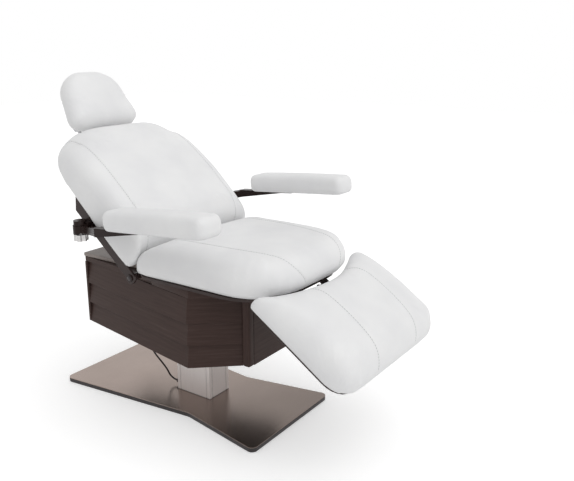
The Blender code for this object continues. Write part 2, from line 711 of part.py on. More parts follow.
# Lead with its gland under the cabinet and its plug in the column
lead_top = Vector(LEAD_ROUTE[-1])
lead_foot = Vector(LEAD_ROUTE[0])
rod("lead_top_gland", (lead_top.x, lead_top.y, lead_top.z + TOUCH),
    (lead_top.x, lead_top.y, CABINET_BOTTOM - TOUCH), LEAD_GLAND_RADIUS * LEAD_TOP_GLAND_TAPER, RUBBER,
    sides=16, end_radius=LEAD_GLAND_RADIUS)
rod("lead_foot_gland", (lead_foot.x, COLUMN_MID_Y + COLUMN_Y / 2 + TOUCH, lead_foot.z),
    (lead_foot.x, lead_foot.y - TOUCH, lead_foot.z), LEAD_PLUG_RADIUS, RUBBER, sides=16,
    end_radius=LEAD_PLUG_RADIUS * LEAD_PLUG_TAPER)


def smooth_route(points, per_span):
    """Points on a smooth curve through the route."""
    route = [Vector(p) for p in points]
    ends = [route[0] * 2 - route[1]] + route + [route[-1] * 2 - route[-2]]
    smooth = []
    for index in range(1, len(ends) - 2):
        before, here, after, later = ends[index - 1:index + 3]
        for step in range(per_span):
            t = step / per_span
            square = 2 * before - 5 * here + 4 * after - later
            cube = 3 * here - before - 3 * after + later
            smooth.append(here + 0.5 * ((after - before) * t + square * t ** 2 + cube * t ** 3))
    return smooth + [route[-1]]


lead_curve = bpy.data.curves.new("lead", "CURVE")
lead_curve.dimensions = "3D"
lead_curve.bevel_depth = LEAD_RADIUS
lead_curve.bevel_resolution = 2
lead_curve.use_fill_caps = True
lead_points = [lead_foot] + smooth_route(LEAD_ROUTE[1:-1], 2) + [lead_top]
lead_spline = lead_curve.splines.new("POLY")
lead_spline.points.add(len(lead_points) - 1)
for point, place in zip(lead_spline.points, lead_points):
    point.co = (*place, 1.0)
lead_curve.materials.append(RUBBER)
parts.objects.link(bpy.data.objects.new("lead", lead_curve))

# Seat
for side, hand in ((-1, "right"), (1, "left")):
    box(f"seat_rail_{hand}",
        (side * SEAT_RAIL_X - SEAT_RAIL_WIDTH / 2, SEAT_RAIL_FRONT_Y, deck_top + TOUCH),
        (side * SEAT_RAIL_X + SEAT_RAIL_WIDTH / 2, SEAT_RAIL_REAR_Y, SEAT_BOARD_Z - TOUCH), DARK_PAINT)
seat_outline = rounded(
    [(-SEAT_BOARD_HALF, SEAT_BOARD_REAR_Y), (-SEAT_BOARD_HALF, SEAT_BOARD_FRONT_Y),
     (SEAT_BOARD_HALF, SEAT_BOARD_FRONT_Y), (SEAT_BOARD_HALF, SEAT_BOARD_REAR_Y)],
    [BOARD_CORNER, SEAT_BOARD_CORNER, SEAT_BOARD_CORNER, BOARD_CORNER], 8)
slab("seat_board", seat_outline, SEAT_BOARD_Z, SEAT_BOARD_Z + SEAT_BOARD_THICK, DARK_PAINT)
cushion("seat_cushion", SEAT_HALF, SEAT_FRONT_Y, SEAT_REAR_Y, SEAT_BOARD_Z + SEAT_BOARD_THICK + TOUCH,
        SEAT_THICK, SEAT_CROWN, SIDE_DRAW, SEAT_CORNERS, SEAT_TOP_ROLL, SEAT_BASE_ROLL, [SEAT_SEAM_X], None)

# Back rest: bars, shaft, board and cushion in the frame of its pivot
back = joint_frame("back_pivot", (0.0, BACK_PIVOT_Y, BACK_PIVOT_Z), BACK_RISE)
bar_low = BACK_BOARD_OFFSET - TOUCH - BACK_BAR_WIDTH
for side, hand in ((-1, "right"), (1, "left")):
    near, far = sorted((side * BACK_BAR_X, side * (BACK_BAR_X + BACK_BAR_THICK)))
    bar = box(f"back_bar_{hand}", (near, BACK_BAR_FOOT, bar_low),
              (far, BACK_BAR_TOP, BACK_BOARD_OFFSET - TOUCH), DARK_PAINT, back)
    eye = rod(f"bar_eye_{hand}", (near, 0, 0), (far, 0, 0), BACK_BAR_EYE, None, back, helper=True)
    join(bar, eye)
    cut(bar, rod(f"bar_bore_{hand}", (near - OVERSHOOT, 0, 0), (far + OVERSHOOT, 0, 0),
                 BACK_SHAFT_RADIUS + TOUCH, None, back, helper=True))
    bearing_x = side * BACK_BEARING_X
    bearing_half = BACK_BEARING_WIDTH / 2
    bearing = box(f"back_bearing_{hand}",
                  (bearing_x - bearing_half, BACK_PIVOT_Y - BACK_BEARING_REACH, deck_top + TOUCH),
                  (bearing_x + bearing_half, BACK_PIVOT_Y + BACK_BEARING_REACH,
                   BACK_PIVOT_Z + BACK_BEARING_TOP), DARK_PAINT)
    bore_half = bearing_half + OVERSHOOT
    cut(bearing, rod(f"bearing_bore_{hand}", (bearing_x - bore_half, BACK_PIVOT_Y, BACK_PIVOT_Z),
                     (bearing_x + bore_half, BACK_PIVOT_Y, BACK_PIVOT_Z), BACK_SHAFT_RADIUS + RUNNING,
                     helper=True))
shaft_end = BACK_BAR_X + BACK_BAR_THICK + BACK_SHAFT_PROUD
back_shaft = rod("back_shaft", (-shaft_end, 0, 0), (shaft_end, 0, 0), BACK_SHAFT_RADIUS, BARE_STEEL, back)
lever_foot = Vector((BACK_LEVER_X, BACK_PIVOT_Y + BACK_LEVER_Y, BACK_PIVOT_Z - BACK_LEVER_DROP))
back_place = Matrix.Translation((0, BACK_PIVOT_Y, BACK_PIVOT_Z)) @ Matrix.Rotation(BACK_RISE, 4, "X")


def lever(name, frame, start, end, width):
    """A flat lever in a plane across X, from the shaft's middle to the pin's middle."""
    along = end - start
    bm = bmesh.new()
    bmesh.ops.create_cube(bm, size=1.0)
    bmesh.ops.scale(bm, vec=(LEVER_THICK, width, along.length + width), verts=bm.verts)
    turn = Vector((0, 0, 1)).rotation_difference(along).to_matrix().to_4x4()
    bmesh.ops.transform(bm, matrix=Matrix.Translation((start + end) / 2) @ turn, verts=bm.verts)
    return new_object(name, mesh_from(bm, name), None, frame, helper=True)


lever_start = Vector((BACK_LEVER_X, 0, 0))
lever_end = back_place.inverted() @ lever_foot
join(back_shaft, lever("back_lever", back, lever_start, lever_end, BACK_LEVER_WIDTH))
pin_reach = LEVER_THICK / 2 + ROD_EYE_THICK + 2 * RUNNING + LEVER_PIN_PROUD
join(back_shaft, rod("back_lever_pin", lever_end, lever_end + Vector((pin_reach, 0, 0)), LEVER_PIN_RADIUS,
                     None, back, helper=True))
back_board_outline = rounded(
    [(-BACK_BAR_X - BACK_BAR_THICK, BACK_BOARD_END), (-BACK_BAR_X - BACK_BAR_THICK, BACK_BOARD_START),
     (BACK_BAR_X + BACK_BAR_THICK, BACK_BOARD_START), (BACK_BAR_X + BACK_BAR_THICK, BACK_BOARD_END)],
    [BACK_BOARD_CORNER, BOARD_CORNER, BOARD_CORNER, BACK_BOARD_CORNER], 8)
slab("back_board", back_board_outline, BACK_BOARD_OFFSET, BACK_BOARD_OFFSET + BACK_BOARD_THICK, DARK_PAINT,
     back)
cushion("back_cushion", BACK_HALF, BACK_START, BACK_END, BACK_BOARD_OFFSET + BACK_BOARD_THICK + TOUCH,
        BACK_THICK, BACK_CROWN, SIDE_DRAW, BACK_CORNERS, BACK_TOP_ROLL, BACK_BASE_ROLL, [BACK_SEAM_X], back)

# Head rest: a socket block on the back board, two stems that slide in it, a tilting pad
half_side = HEAD_SOCKET_SIDE / 2
socket_mid = BACK_BOARD_OFFSET - TOUCH - half_side
head_socket = box("head_socket", (-HEAD_STEM_X - half_side, HEAD_SOCKET_START, socket_mid - half_side),
                  (HEAD_STEM_X + half_side, HEAD_SOCKET_END, socket_mid + half_side), BLACK_PAINT, back)
for side, hand in ((-1, "right"), (1, "left")):
    at_x = side * HEAD_STEM_X
    cut(head_socket, rod(f"socket_bore_{hand}", (at_x, HEAD_SOCKET_START - OVERSHOOT, socket_mid),
                         (at_x, HEAD_SOCKET_END + OVERSHOOT, socket_mid), HEAD_STEM_RADIUS + SLIDE, None,
                         back, helper=True))
stem_low = HEAD_PIVOT_UP - HEAD_STEM_LENGTH
head_yoke = rod("head_yoke", (-HEAD_YOKE_HALF, HEAD_PIVOT_UP, HEAD_PIVOT_OUT),
                (HEAD_YOKE_HALF, HEAD_PIVOT_UP, HEAD_PIVOT_OUT), HEAD_STEM_RADIUS, BARE_STEEL, back)
for side, hand in ((-1, "right"), (1, "left")):
    at_x = side * HEAD_STEM_X
    join(head_yoke, rod(f"stem_{hand}", (at_x, stem_low, socket_mid), (at_x, HEAD_PIVOT_UP, socket_mid),
                        HEAD_STEM_RADIUS, None, back, helper=True))
    join(head_yoke, box(f"stem_lug_{hand}",
                        (at_x - HEAD_LUG_HALF, HEAD_PIVOT_UP - HEAD_LUG_REACH, socket_mid - HEAD_LUG_DEEP),
                        (at_x + HEAD_LUG_HALF, HEAD_PIVOT_UP + HEAD_LUG_REACH,
                         HEAD_PIVOT_OUT + HEAD_LUG_DEEP), None, back, helper=True))
head = joint_frame("head_pivot", (0.0, HEAD_PIVOT_UP, HEAD_PIVOT_OUT), HEAD_RISE - BACK_RISE, back)
head_low = -HEAD_DROP
head_high = HEAD_HEIGHT - HEAD_DROP
board_low = HEAD_STANDOFF
inset = HEAD_BOARD_INSET
head_board = slab("head_board", rounded(
    [(-HEAD_HALF_LOW + inset, head_low + inset), (HEAD_HALF_LOW - inset, head_low + inset),
     (HEAD_HALF_HIGH - inset, head_high - inset), (-HEAD_HALF_HIGH + inset, head_high - inset)],
    HEAD_BOARD_CORNER),
    board_low, board_low + HEAD_BOARD_THICK, DARK_PAINT, head)
join(head_board, box("head_clamp", (-HEAD_CLAMP_HALF, -HEAD_CLAMP_REACH, -HEAD_CLAMP_DEEP),
                     (HEAD_CLAMP_HALF, HEAD_CLAMP_REACH, board_low + HEAD_CLAMP_LET_IN), None, head,
                     helper=True))
cut(head_board, rod("head_clamp_bore", (-HEAD_YOKE_HALF, 0, 0), (HEAD_YOKE_HALF, 0, 0),
                    HEAD_STEM_RADIUS + RUNNING, None, head, helper=True))
cushion("head_cushion", HEAD_HALF_HIGH, head_low, head_high, board_low + HEAD_BOARD_THICK + TOUCH,
        HEAD_THICK, HEAD_CROWN, HEAD_DRAW, HEAD_CORNERS, HEAD_TOP_ROLL, HEAD_BASE_ROLL, [], head,
        half_front=HEAD_HALF_LOW, counts=(4, 4))

# Arm rests
pad_rise = Matrix.Rotation(-ARM_PAD_RISE, 4, "X")
pad_length = (ARM_PAD_REAR_Y - ARM_PAD_FRONT_Y) / math.cos(ARM_PAD_RISE)
hub_top = ARM_SWIVEL_Z - TOUCH
hub_low = hub_top - ARM_HUB_THICK
for side, hand in ((-1, "right"), (1, "left")):
    swivel = joint_frame(f"arm_swivel_{hand}", (side * ARM_SWIVEL_X, ARM_SWIVEL_Y, 0.0))
    boss = rod(f"arm_boss_{hand}", (0, 0, ARM_SWIVEL_Z), (0, 0, ARM_SWIVEL_Z + ARM_BOSS_HEIGHT),
               ARM_BOSS_RADIUS, DARK_PAINT, swivel, 32)
    inner = -side * (ARM_SWIVEL_X - BACK_BAR_X - BACK_BAR_THICK - TOUCH)
    lug_low, lug_high = sorted((inner, 0.0))
    lug = box(f"boss_lug_{hand}", (lug_low, ARM_LUG_FRONT, ARM_SWIVEL_Z + ARM_LUG_LOW),
              (lug_high, ARM_LUG_REAR, ARM_SWIVEL_Z + ARM_LUG_HIGH), None, swivel, helper=True)
    join(boss, lug)
    pad_at = (side * ARM_PAD_X, ARM_PAD_REAR_Y, ARM_PAD_REAR_Z)
    pad_frame = joint_frame(f"arm_pad_seat_{hand}", pad_at, -ARM_PAD_RISE)
    pad_base = -ARM_PAD_THICK / 2
    board_outline = rounded(
        [(-ARM_PAD_HALF + ARM_BOARD_INSET, -ARM_BOARD_INSET),
         (-ARM_PAD_HALF + ARM_BOARD_INSET, -pad_length + ARM_BOARD_INSET),
         (ARM_PAD_HALF - ARM_BOARD_INSET, -pad_length + ARM_BOARD_INSET),
         (ARM_PAD_HALF - ARM_BOARD_INSET, -ARM_BOARD_INSET)], ARM_BOARD_CORNER, 5)
    slab(f"arm_board_{hand}", board_outline, pad_base - TOUCH - ARM_BOARD_THICK, pad_base - TOUCH,
         BLACK_PAINT, pad_frame)
    cushion(f"arm_pad_{hand}", ARM_PAD_HALF, -pad_length, 0.0, pad_base, ARM_PAD_THICK, ARM_PAD_CROWN,
            ARM_PAD_DRAW, ARM_PAD_CORNERS, ARM_PAD_TOP_ROLL, ARM_PAD_BASE_ROLL, [], pad_frame, counts=(2, 6))
    bracket = rod(f"arm_bracket_{hand}", (0, 0, hub_low), (0, 0, hub_top), ARM_HUB_RADIUS, DARK_PAINT,
                  swivel, 32)
    plate_top_z = pad_base - 2 * TOUCH - ARM_BOARD_THICK
    plate = box(f"bracket_plate_{hand}",
                (-ARM_BAR_WIDTH / 2, -ARM_PLATE_LENGTH, plate_top_z - ARM_PLATE_THICK),
                (ARM_BAR_WIDTH / 2, -ARM_PLATE_REAR, plate_top_z), None, pad_frame, helper=True)
    pad_place = Matrix.Translation(pad_at) @ pad_rise
    arm_from = Vector((0, -ARM_TONGUE + ARM_BAR_THICK, (hub_low + hub_top) / 2))
    arm_to = pad_place @ Vector((0, -ARM_PLATE_REAR - ARM_BAR_THICK, plate_top_z - ARM_BAR_THICK / 2))
    arm_to -= Vector((side * ARM_SWIVEL_X, ARM_SWIVEL_Y, 0.0))
    run = arm_to - arm_from
    bm = bmesh.new()
    bmesh.ops.create_cube(bm, size=1.0)
    bmesh.ops.scale(bm, vec=(2 * ARM_TONGUE_HALF, run.length, ARM_BAR_THICK), verts=bm.verts)
    forward = run.normalized()
    across = forward.cross(Vector((0, 0, 1))).normalized()
    upward = across.cross(forward)
    turn = Matrix((across, forward, upward)).transposed().to_4x4()
    bmesh.ops.transform(bm, matrix=Matrix.Translation((arm_from + arm_to) / 2) @ turn, verts=bm.verts)
    arm_bar = new_object(f"bracket_bar_{hand}", mesh_from(bm, f"bracket_bar_{hand}"), None, swivel,
                         helper=True)
    tongue = box(f"bracket_tongue_{hand}", (-ARM_TONGUE_HALF, -ARM_TONGUE, hub_low),
                 (ARM_TONGUE_HALF, 0.0, hub_top), None, swivel, helper=True)
    join(bracket, tongue)
    join(bracket, arm_bar)
    join(bracket, plate)
    cut(bracket, rod(f"hub_bore_{hand}", (0, 0, hub_low - OVERSHOOT), (0, 0, hub_top + OVERSHOOT),
                     BOLT_RADIUS + RUNNING, None, swivel, helper=True))
    cut(boss, rod(f"boss_bore_{hand}", (0, 0, ARM_SWIVEL_Z - OVERSHOOT),
                  (0, 0, ARM_SWIVEL_Z + ARM_BOSS_BORE), BOLT_RADIUS + RUNNING, None, swivel, helper=True))
    knob_top = hub_low - KNOB_DROP
    knob_outline = []
    for step in range(KNOB_STEPS):
        angle = 2 * math.pi * step / KNOB_STEPS
        reach = KNOB_RADIUS - KNOB_LOBE * (0.5 + 0.5 * math.cos(KNOB_LOBES * angle))
        knob_outline.append((reach * math.cos(angle), reach * math.sin(angle)))
    knob = slab(f"arm_knob_{hand}", knob_outline, knob_top - KNOB_HEIGHT, knob_top, BARE_STEEL, swivel)
    join(knob, rod(f"knob_collar_{hand}", (0, 0, knob_top - KNOB_SINK), (0, 0, hub_low - TOUCH), KNOB_COLLAR,
                   None, swivel, helper=True))
    join(knob, rod(f"knob_bolt_{hand}", (0, 0, knob_top - KNOB_SINK), (0, 0, ARM_SWIVEL_Z + BOLT_REACH),
                   BOLT_RADIUS, None, swivel, 16, helper=True))

# Foot rest: ears under the seat board, a frame that swings on their pins, board and cushion
foot = joint_frame("foot_pivot", (0.0, FOOT_PIVOT_Y, FOOT_PIVOT_Z), FOOT_FALL)
fall = Matrix.Rotation(FOOT_FALL, 4, "X")
foot_inverse = (Matrix.Translation((0, FOOT_PIVOT_Y, FOOT_PIVOT_Z)) @ fall).inverted()
foot_origin = foot_inverse @ Vector((0, FOOT_TOP_Y, FOOT_TOP_Z))
ear_half = FOOT_EAR_SIDE / 2
for side, hand in ((-1, "right"), (1, "left")):
    near, far = sorted((side * FOOT_EAR_X, side * (FOOT_EAR_X + FOOT_EAR_THICK)))
    ear = box(f"foot_ear_{hand}", (near, FOOT_PIVOT_Y - ear_half, FOOT_PIVOT_Z - ear_half),
              (far, FOOT_PIVOT_Y + ear_half + FOOT_EAR_LENGTH, SEAT_BOARD_Z - TOUCH), DARK_PAINT)
    pin_in = side * (FOOT_EAR_X - FOOT_ARM_THICK - 2 * RUNNING - FOOT_PIN_PROUD)
    join(ear, rod(f"foot_pin_{hand}", (side * (FOOT_EAR_X + FOOT_EAR_THICK / 2), FOOT_PIVOT_Y, FOOT_PIVOT_Z),
                  (pin_in, FOOT_PIVOT_Y, FOOT_PIVOT_Z), FOOT_PIN_RADIUS, helper=True))
board_under = foot_origin.z
foot_board_half = FOOT_HALF - FOOT_BOARD_INSET
foot_board_outline = rounded(
    [(-foot_board_half, foot_origin.y - FOOT_START - FOOT_HOLLOW),
     (-foot_board_half, foot_origin.y - FOOT_LENGTH + FOOT_BOARD_INSET),
     (foot_board_half, foot_origin.y - FOOT_LENGTH + FOOT_BOARD_INSET),
     (foot_board_half, foot_origin.y - FOOT_START - FOOT_HOLLOW)],
    [FOOT_BOARD_TOP_CORNER, FOOT_BOARD_END_CORNER, FOOT_BOARD_END_CORNER, FOOT_BOARD_TOP_CORNER])
slab("foot_board", foot_board_outline, board_under, board_under + FOOT_BOARD_THICK, DARK_PAINT, foot)
cushion("foot_cushion", FOOT_HALF, foot_origin.y - FOOT_LENGTH, foot_origin.y - FOOT_START,
        board_under + FOOT_BOARD_THICK + TOUCH, FOOT_THICK, FOOT_CROWN, FOOT_DRAW, FOOT_CORNERS,
        FOOT_TOP_ROLL, FOOT_BASE_ROLL, [FOOT_SEAM_X], foot, hollow=FOOT_HOLLOW)
frame_top = board_under - TOUCH
frame_half = FOOT_EAR_X - RUNNING
foot_frame = box("foot_frame", (-frame_half, foot_origin.y - FOOT_BAR_FAR, frame_top - FOOT_BAR_THICK),
                 (frame_half, foot_origin.y - FOOT_BAR_NEAR, frame_top), DARK_PAINT, foot)
for side, hand in ((-1, "right"), (1, "left")):
    near, far = sorted((side * frame_half, side * (frame_half - FOOT_ARM_THICK)))
    arm = box(f"foot_arm_{hand}", (near, foot_origin.y - FOOT_ARM_END, -FOOT_ARM_HALF),
              (far, 0.0, min(frame_top, FOOT_ARM_HALF)), None, foot, helper=True)
    join(foot_frame, arm)
    rise = box(f"foot_arm_rise_{hand}", (near, foot_origin.y - FOOT_BAR_FAR, -FOOT_ARM_HALF),
               (far, foot_origin.y - FOOT_RISE_NEAR, frame_top), None, foot, helper=True)
    join(foot_frame, rise)
    arm_eye = rod(f"foot_arm_eye_{hand}", (near, 0, 0), (far, 0, 0), FOOT_ARM_HALF, None, foot, helper=True)
    join(foot_frame, arm_eye)
    cut(foot_frame, rod(f"foot_arm_bore_{hand}", (near - OVERSHOOT, 0, 0), (far + OVERSHOOT, 0, 0),
                        FOOT_PIN_RADIUS + RUNNING, None, foot, helper=True))
lever_foot = Vector((FOOT_LEVER_X, FOOT_PIVOT_Y + FOOT_LEVER_Y, FOOT_PIVOT_Z - FOOT_LEVER_DROP))
lever_pin = foot_inverse @ lever_foot
tube_y = foot_origin.y - FOOT_TUBE_AT
cross_tube = rod("foot_cross_tube", (-frame_half, tube_y, 0), (frame_half, tube_y, 0), FOOT_TUBE_RADIUS,
                 None, foot, helper=True)
join(foot_frame, cross_tube)
join(foot_frame, lever("foot_lever", foot, Vector((FOOT_LEVER_X, tube_y, 0)), lever_pin, FOOT_LEVER_WIDTH))
join(foot_frame, rod("foot_lever_pin", lever_pin, lever_pin - Vector((pin_reach, 0, 0)), LEVER_PIN_RADIUS,
                     None, foot, helper=True))


def actuator(name, at_x, at_z, rear, front, rod_name, pin_y):
    """A linear actuator lying along Y: a fixed housing and a rod with a slotted eye on the lever's pin."""
    direction = 1.0 if pin_y > front else -1.0
    housing = rod(name, (at_x, rear, at_z), (at_x, front, at_z), ACTUATOR_RADIUS, BLACK_PAINT)
    cut(housing, rod(name + "_bore", (at_x, rear + direction * ACTUATOR_BORE_START, at_z),
                     (at_x, front + direction * OVERSHOOT, at_z), ROD_RADIUS + SLIDE, helper=True))
    low, high = sorted((rear + direction * ACTUATOR_FOOT_START, rear + direction * ACTUATOR_FOOT_SIDE))
    join(housing, box(name + "_foot", (at_x - ACTUATOR_FOOT_HALF, low, floor_top),
                      (at_x + ACTUATOR_FOOT_HALF, high, at_z), helper=True))
    eye_half = ROD_EYE_THICK / 2
    eye = box(rod_name, (at_x - eye_half, pin_y - ROD_EYE_LENGTH / 2, at_z - ROD_EYE_HEIGHT / 2),
              (at_x + eye_half, pin_y + ROD_EYE_LENGTH / 2, at_z + ROD_EYE_HEIGHT / 2), BARE_STEEL)
    join(eye, rod(rod_name + "_shank", (at_x, pin_y - direction * ROD_SHANK_LAP, at_z),
                  (at_x, front - direction * ROD_HELD, at_z), ROD_RADIUS, helper=True))
    slot_wide = LEVER_PIN_RADIUS + ROD_SLOT_ROOM
    slot_deep = eye_half + OVERSHOOT
    cut(eye, box(rod_name + "_slot", (at_x - slot_deep, pin_y - slot_wide, at_z - ROD_SLOT_HALF),
                 (at_x + slot_deep, pin_y + slot_wide, at_z + ROD_SLOT_HALF), helper=True))


eye_shift = LEVER_THICK / 2 + RUNNING + ROD_EYE_THICK / 2
actuator("back_actuator", BACK_LEVER_X + eye_shift, BACK_ROD_Z, BACK_ACTUATOR_REAR, BACK_ACTUATOR_FRONT,
         "back_rod", BACK_PIVOT_Y + BACK_LEVER_Y)
actuator("foot_actuator", FOOT_LEVER_X - eye_shift, FOOT_ROD_Z, FOOT_ACTUATOR_REAR, FOOT_ACTUATOR_FRONT,
         "foot_rod", FOOT_PIVOT_Y + FOOT_LEVER_Y)
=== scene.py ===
import json
import math

import bmesh
import bpy
import numpy as np
from mathutils import Matrix, Vector
from mathutils.bvhtree import BVHTree

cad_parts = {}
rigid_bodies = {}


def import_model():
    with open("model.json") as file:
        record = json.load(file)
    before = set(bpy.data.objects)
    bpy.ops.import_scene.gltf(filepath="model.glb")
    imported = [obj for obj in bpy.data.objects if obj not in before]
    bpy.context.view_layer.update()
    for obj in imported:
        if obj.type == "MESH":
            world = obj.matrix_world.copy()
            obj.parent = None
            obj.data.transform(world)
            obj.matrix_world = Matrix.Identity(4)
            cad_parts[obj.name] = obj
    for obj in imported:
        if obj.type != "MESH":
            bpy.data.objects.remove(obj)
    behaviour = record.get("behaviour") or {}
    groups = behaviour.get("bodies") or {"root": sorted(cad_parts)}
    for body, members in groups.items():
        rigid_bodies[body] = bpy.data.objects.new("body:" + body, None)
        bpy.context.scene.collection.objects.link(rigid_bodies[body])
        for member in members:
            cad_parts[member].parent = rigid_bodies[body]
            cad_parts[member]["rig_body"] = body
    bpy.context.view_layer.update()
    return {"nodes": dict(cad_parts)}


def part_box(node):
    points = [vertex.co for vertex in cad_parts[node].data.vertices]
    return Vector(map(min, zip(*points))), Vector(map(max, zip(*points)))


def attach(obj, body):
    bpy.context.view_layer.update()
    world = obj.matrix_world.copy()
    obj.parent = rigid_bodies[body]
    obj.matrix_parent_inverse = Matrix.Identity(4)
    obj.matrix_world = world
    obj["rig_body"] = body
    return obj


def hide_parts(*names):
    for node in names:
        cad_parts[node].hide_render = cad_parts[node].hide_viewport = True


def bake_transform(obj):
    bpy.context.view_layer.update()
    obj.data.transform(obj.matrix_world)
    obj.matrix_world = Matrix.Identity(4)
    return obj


for thing in list(bpy.data.objects):
    bpy.data.objects.remove(thing)
scene = bpy.context.scene
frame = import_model()

# Camera
# The photo's viewpoint, solved from the corners of the floor plate, the column and the cabinet.
camera_data = bpy.data.cameras.new("photo_camera")
camera_data.lens = 44.9
camera_data.sensor_width = 36.0
camera = bpy.data.objects.new("photo_camera", camera_data)
camera.location = (-1.91045, -1.77365, 1.33475)
camera.rotation_euler = Vector((0.791341, 0.548973, -0.269088)).to_track_quat("-Z", "Y").to_euler()
scene.collection.objects.link(camera)
scene.camera = camera
scene.view_settings.view_transform = "Standard"


# Lead
# A short round control cord from a gland under the cabinet to a plug in the column's rear face.
# Extruded soft PVC over copper strands; it hangs in one slack curve.
def colour(code):
    """A linear colour from an sRGB hex code."""
    parts = [int(code[i:i + 2], 16) / 255 for i in (0, 2, 4)]
    return (*[p / 12.92 if p <= 0.04045 else ((p + 0.055) / 1.055) ** 2.4 for p in parts], 1.0)


def add(tree, kind, inputs=(), **properties):
    """Adds a node; an input given as a socket is linked, any other is set."""
    node = tree.nodes.new(kind)
    for name, value in properties.items():
        setattr(node, name, value)
    for key, value in dict(inputs).items():
        if isinstance(value, bpy.types.NodeSocket):
            tree.links.new(value, node.inputs[key])
        else:
            node.inputs[key].default_value = value
    return node


def new_material(name, roughness, metallic=0.0):
    """A material with its shader and the object coordinates that its patterns use."""
    made = bpy.data.materials.new(name)
    made.use_nodes = True
    tree = made.node_tree
    shader = tree.nodes["Principled BSDF"]
    shader.inputs["Roughness"].default_value = roughness
    shader.inputs["Metallic"].default_value = metallic
    place = add(tree, "ShaderNodeTexCoord").outputs["Object"]
    return made, tree, shader, place


def grain(tree, place, scale, detail=3.0, stretch=(1.0, 1.0, 1.0)):
    """Noise with so many cycles to the metre, drawn out along one axis by stretch."""
    spread = add(tree, "ShaderNodeMapping", {"Vector": place, "Scale": stretch}).outputs[0]
    return add(tree, "ShaderNodeTexNoise", {"Vector": spread, "Scale": scale, "Detail": detail}).outputs[0]


def ramp(tree, value, stops):
    """A colour ramp from (position, hex) stops."""
    node = add(tree, "ShaderNodeValToRGB", {"Fac": value})
    for index, (position, code) in enumerate(stops):
        stop = node.color_ramp.elements[index] if index < 2 else node.color_ramp.elements.new(position)
        stop.position = position
        stop.color = colour(code)
    return node.outputs["Color"]


def bump(tree, shader, height, distance, strength=1.0):
    """Surface relief of so many metres."""
    made = add(tree, "ShaderNodeBump", {"Height": height, "Distance": distance, "Strength": strength})
    tree.links.new(made.outputs[0], shader.inputs["Normal"])


def between(tree, value, low, high):
    """A value from 0 to 1 spread between two limits."""
    return add(tree, "ShaderNodeMapRange", {"Value": value, "To Min": low, "To Max": high}).outputs[0]


# Black PVC: satin, with a fine flow texture from extrusion.
black_pvc, tree, shader, place = new_material("black_pvc", 0.45)
fleck = grain(tree, place, 900.0)
tree.links.new(ramp(tree, fleck, [(0.3, "1c1616"), (0.7, "2a2121")]), shader.inputs["Base Color"])
tree.links.new(between(tree, fleck, 0.38, 0.55), shader.inputs["Roughness"])
bump(tree, shader, fleck, 0.0001)

LEAD_RADIUS = 0.0033
LEAD_ROUTE = [
    (-0.0300, 0.0600, 0.0360), (-0.0300, 0.0640, 0.0360), (-0.0318, 0.0765, 0.0393),
    (-0.0365, 0.0860, 0.0485), (-0.0431, 0.0895, 0.0615), (-0.058, 0.087, 0.088),
    (-0.080, 0.082, 0.118), (-0.101, 0.080, 0.147), (-0.118, 0.083, 0.174),
    (-0.129, 0.088, 0.200), (-0.134, 0.091, 0.222), (-0.134, 0.091, 0.2317)]


def smooth_route(points, per_span):
    """Points on a smooth curve through the route."""
    route = [Vector(p) for p in points]
    ends = [route[0] * 2 - route[1]] + route + [route[-1] * 2 - route[-2]]
    smooth = []
    for index in range(1, len(ends) - 2):
        before, here, after, later = ends[index - 1:index + 3]
        for step in range(per_span):
            t = step / per_span
            square = 2 * before - 5 * here + 4 * after - later
            cube = 3 * here - before - 3 * after + later
            smooth.append(here + 0.5 * ((after - before) * t + square * t ** 2 + cube * t ** 3))
    return smooth + [route[-1]]


def placed(name, mesh, material, smooth=True):
    """A new piece at the origin, with its place in its mesh."""
    piece = bpy.data.objects.new(name, mesh)
    scene.collection.objects.link(piece)
    mesh.materials.clear()
    mesh.materials.append(material)
    if smooth:
        mesh.shade_smooth()
    return piece


def tube(name, points, radii, material, sides=20):
    """A round tube through points, with a radius at each and flat ends."""
    bm = bmesh.new()
    rings = []
    across = Vector((1.0, 0.0, 0.0))
    for index, (point, radius) in enumerate(zip(points, radii)):
        along = (points[min(index + 1, len(points) - 1)] - points[max(index - 1, 0)]).normalized()
        across = (across - along * across.dot(along)).normalized()
        other = along.cross(across)
        turns = [2 * math.pi * step / sides for step in range(sides)]
        spokes = [across * math.cos(turn) + other * math.sin(turn) for turn in turns]
        rings.append([bm.verts.new(point + spoke * radius) for spoke in spokes])
    for low, high in zip(rings, rings[1:]):
        for step in range(sides):
            bm.faces.new((low[step - 1], low[step], high[step], high[step - 1]))
    bm.faces.new(reversed(rings[0]))
    bm.faces.new(rings[-1])
    bmesh.ops.recalc_face_normals(bm, faces=bm.faces)
    mesh = bpy.data.meshes.new(name)
    bm.to_mesh(mesh)
    bm.free()
    piece = placed(name, mesh, material)
    mesh.set_sharp_from_angle(angle=math.radians(50))
    return piece


lead_points = [Vector(LEAD_ROUTE[0])] + smooth_route(LEAD_ROUTE[1:-1], 3) + [Vector(LEAD_ROUTE[-1])]
lead_points.reverse()
lead = tube("control_lead", lead_points, [LEAD_RADIUS] * len(lead_points), black_pvc)
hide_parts("lead")
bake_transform(lead)


# Lead gland and plug
# Two moulded rubber strain reliefs: a ribbed cone under the cabinet floor and a ribbed plug in the column.
def ribbed(node, start, end, profile):
    """A moulded relief along a line, from (share along, radius) pairs."""
    start, end = Vector(start), Vector(end)
    points = [start.lerp(end, share) for share, _ in profile]
    piece = tube(node + "_moulding", points, [radius for _, radius in profile], black_pvc, 24)
    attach(piece, frame["nodes"][node]["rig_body"])
    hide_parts(node)


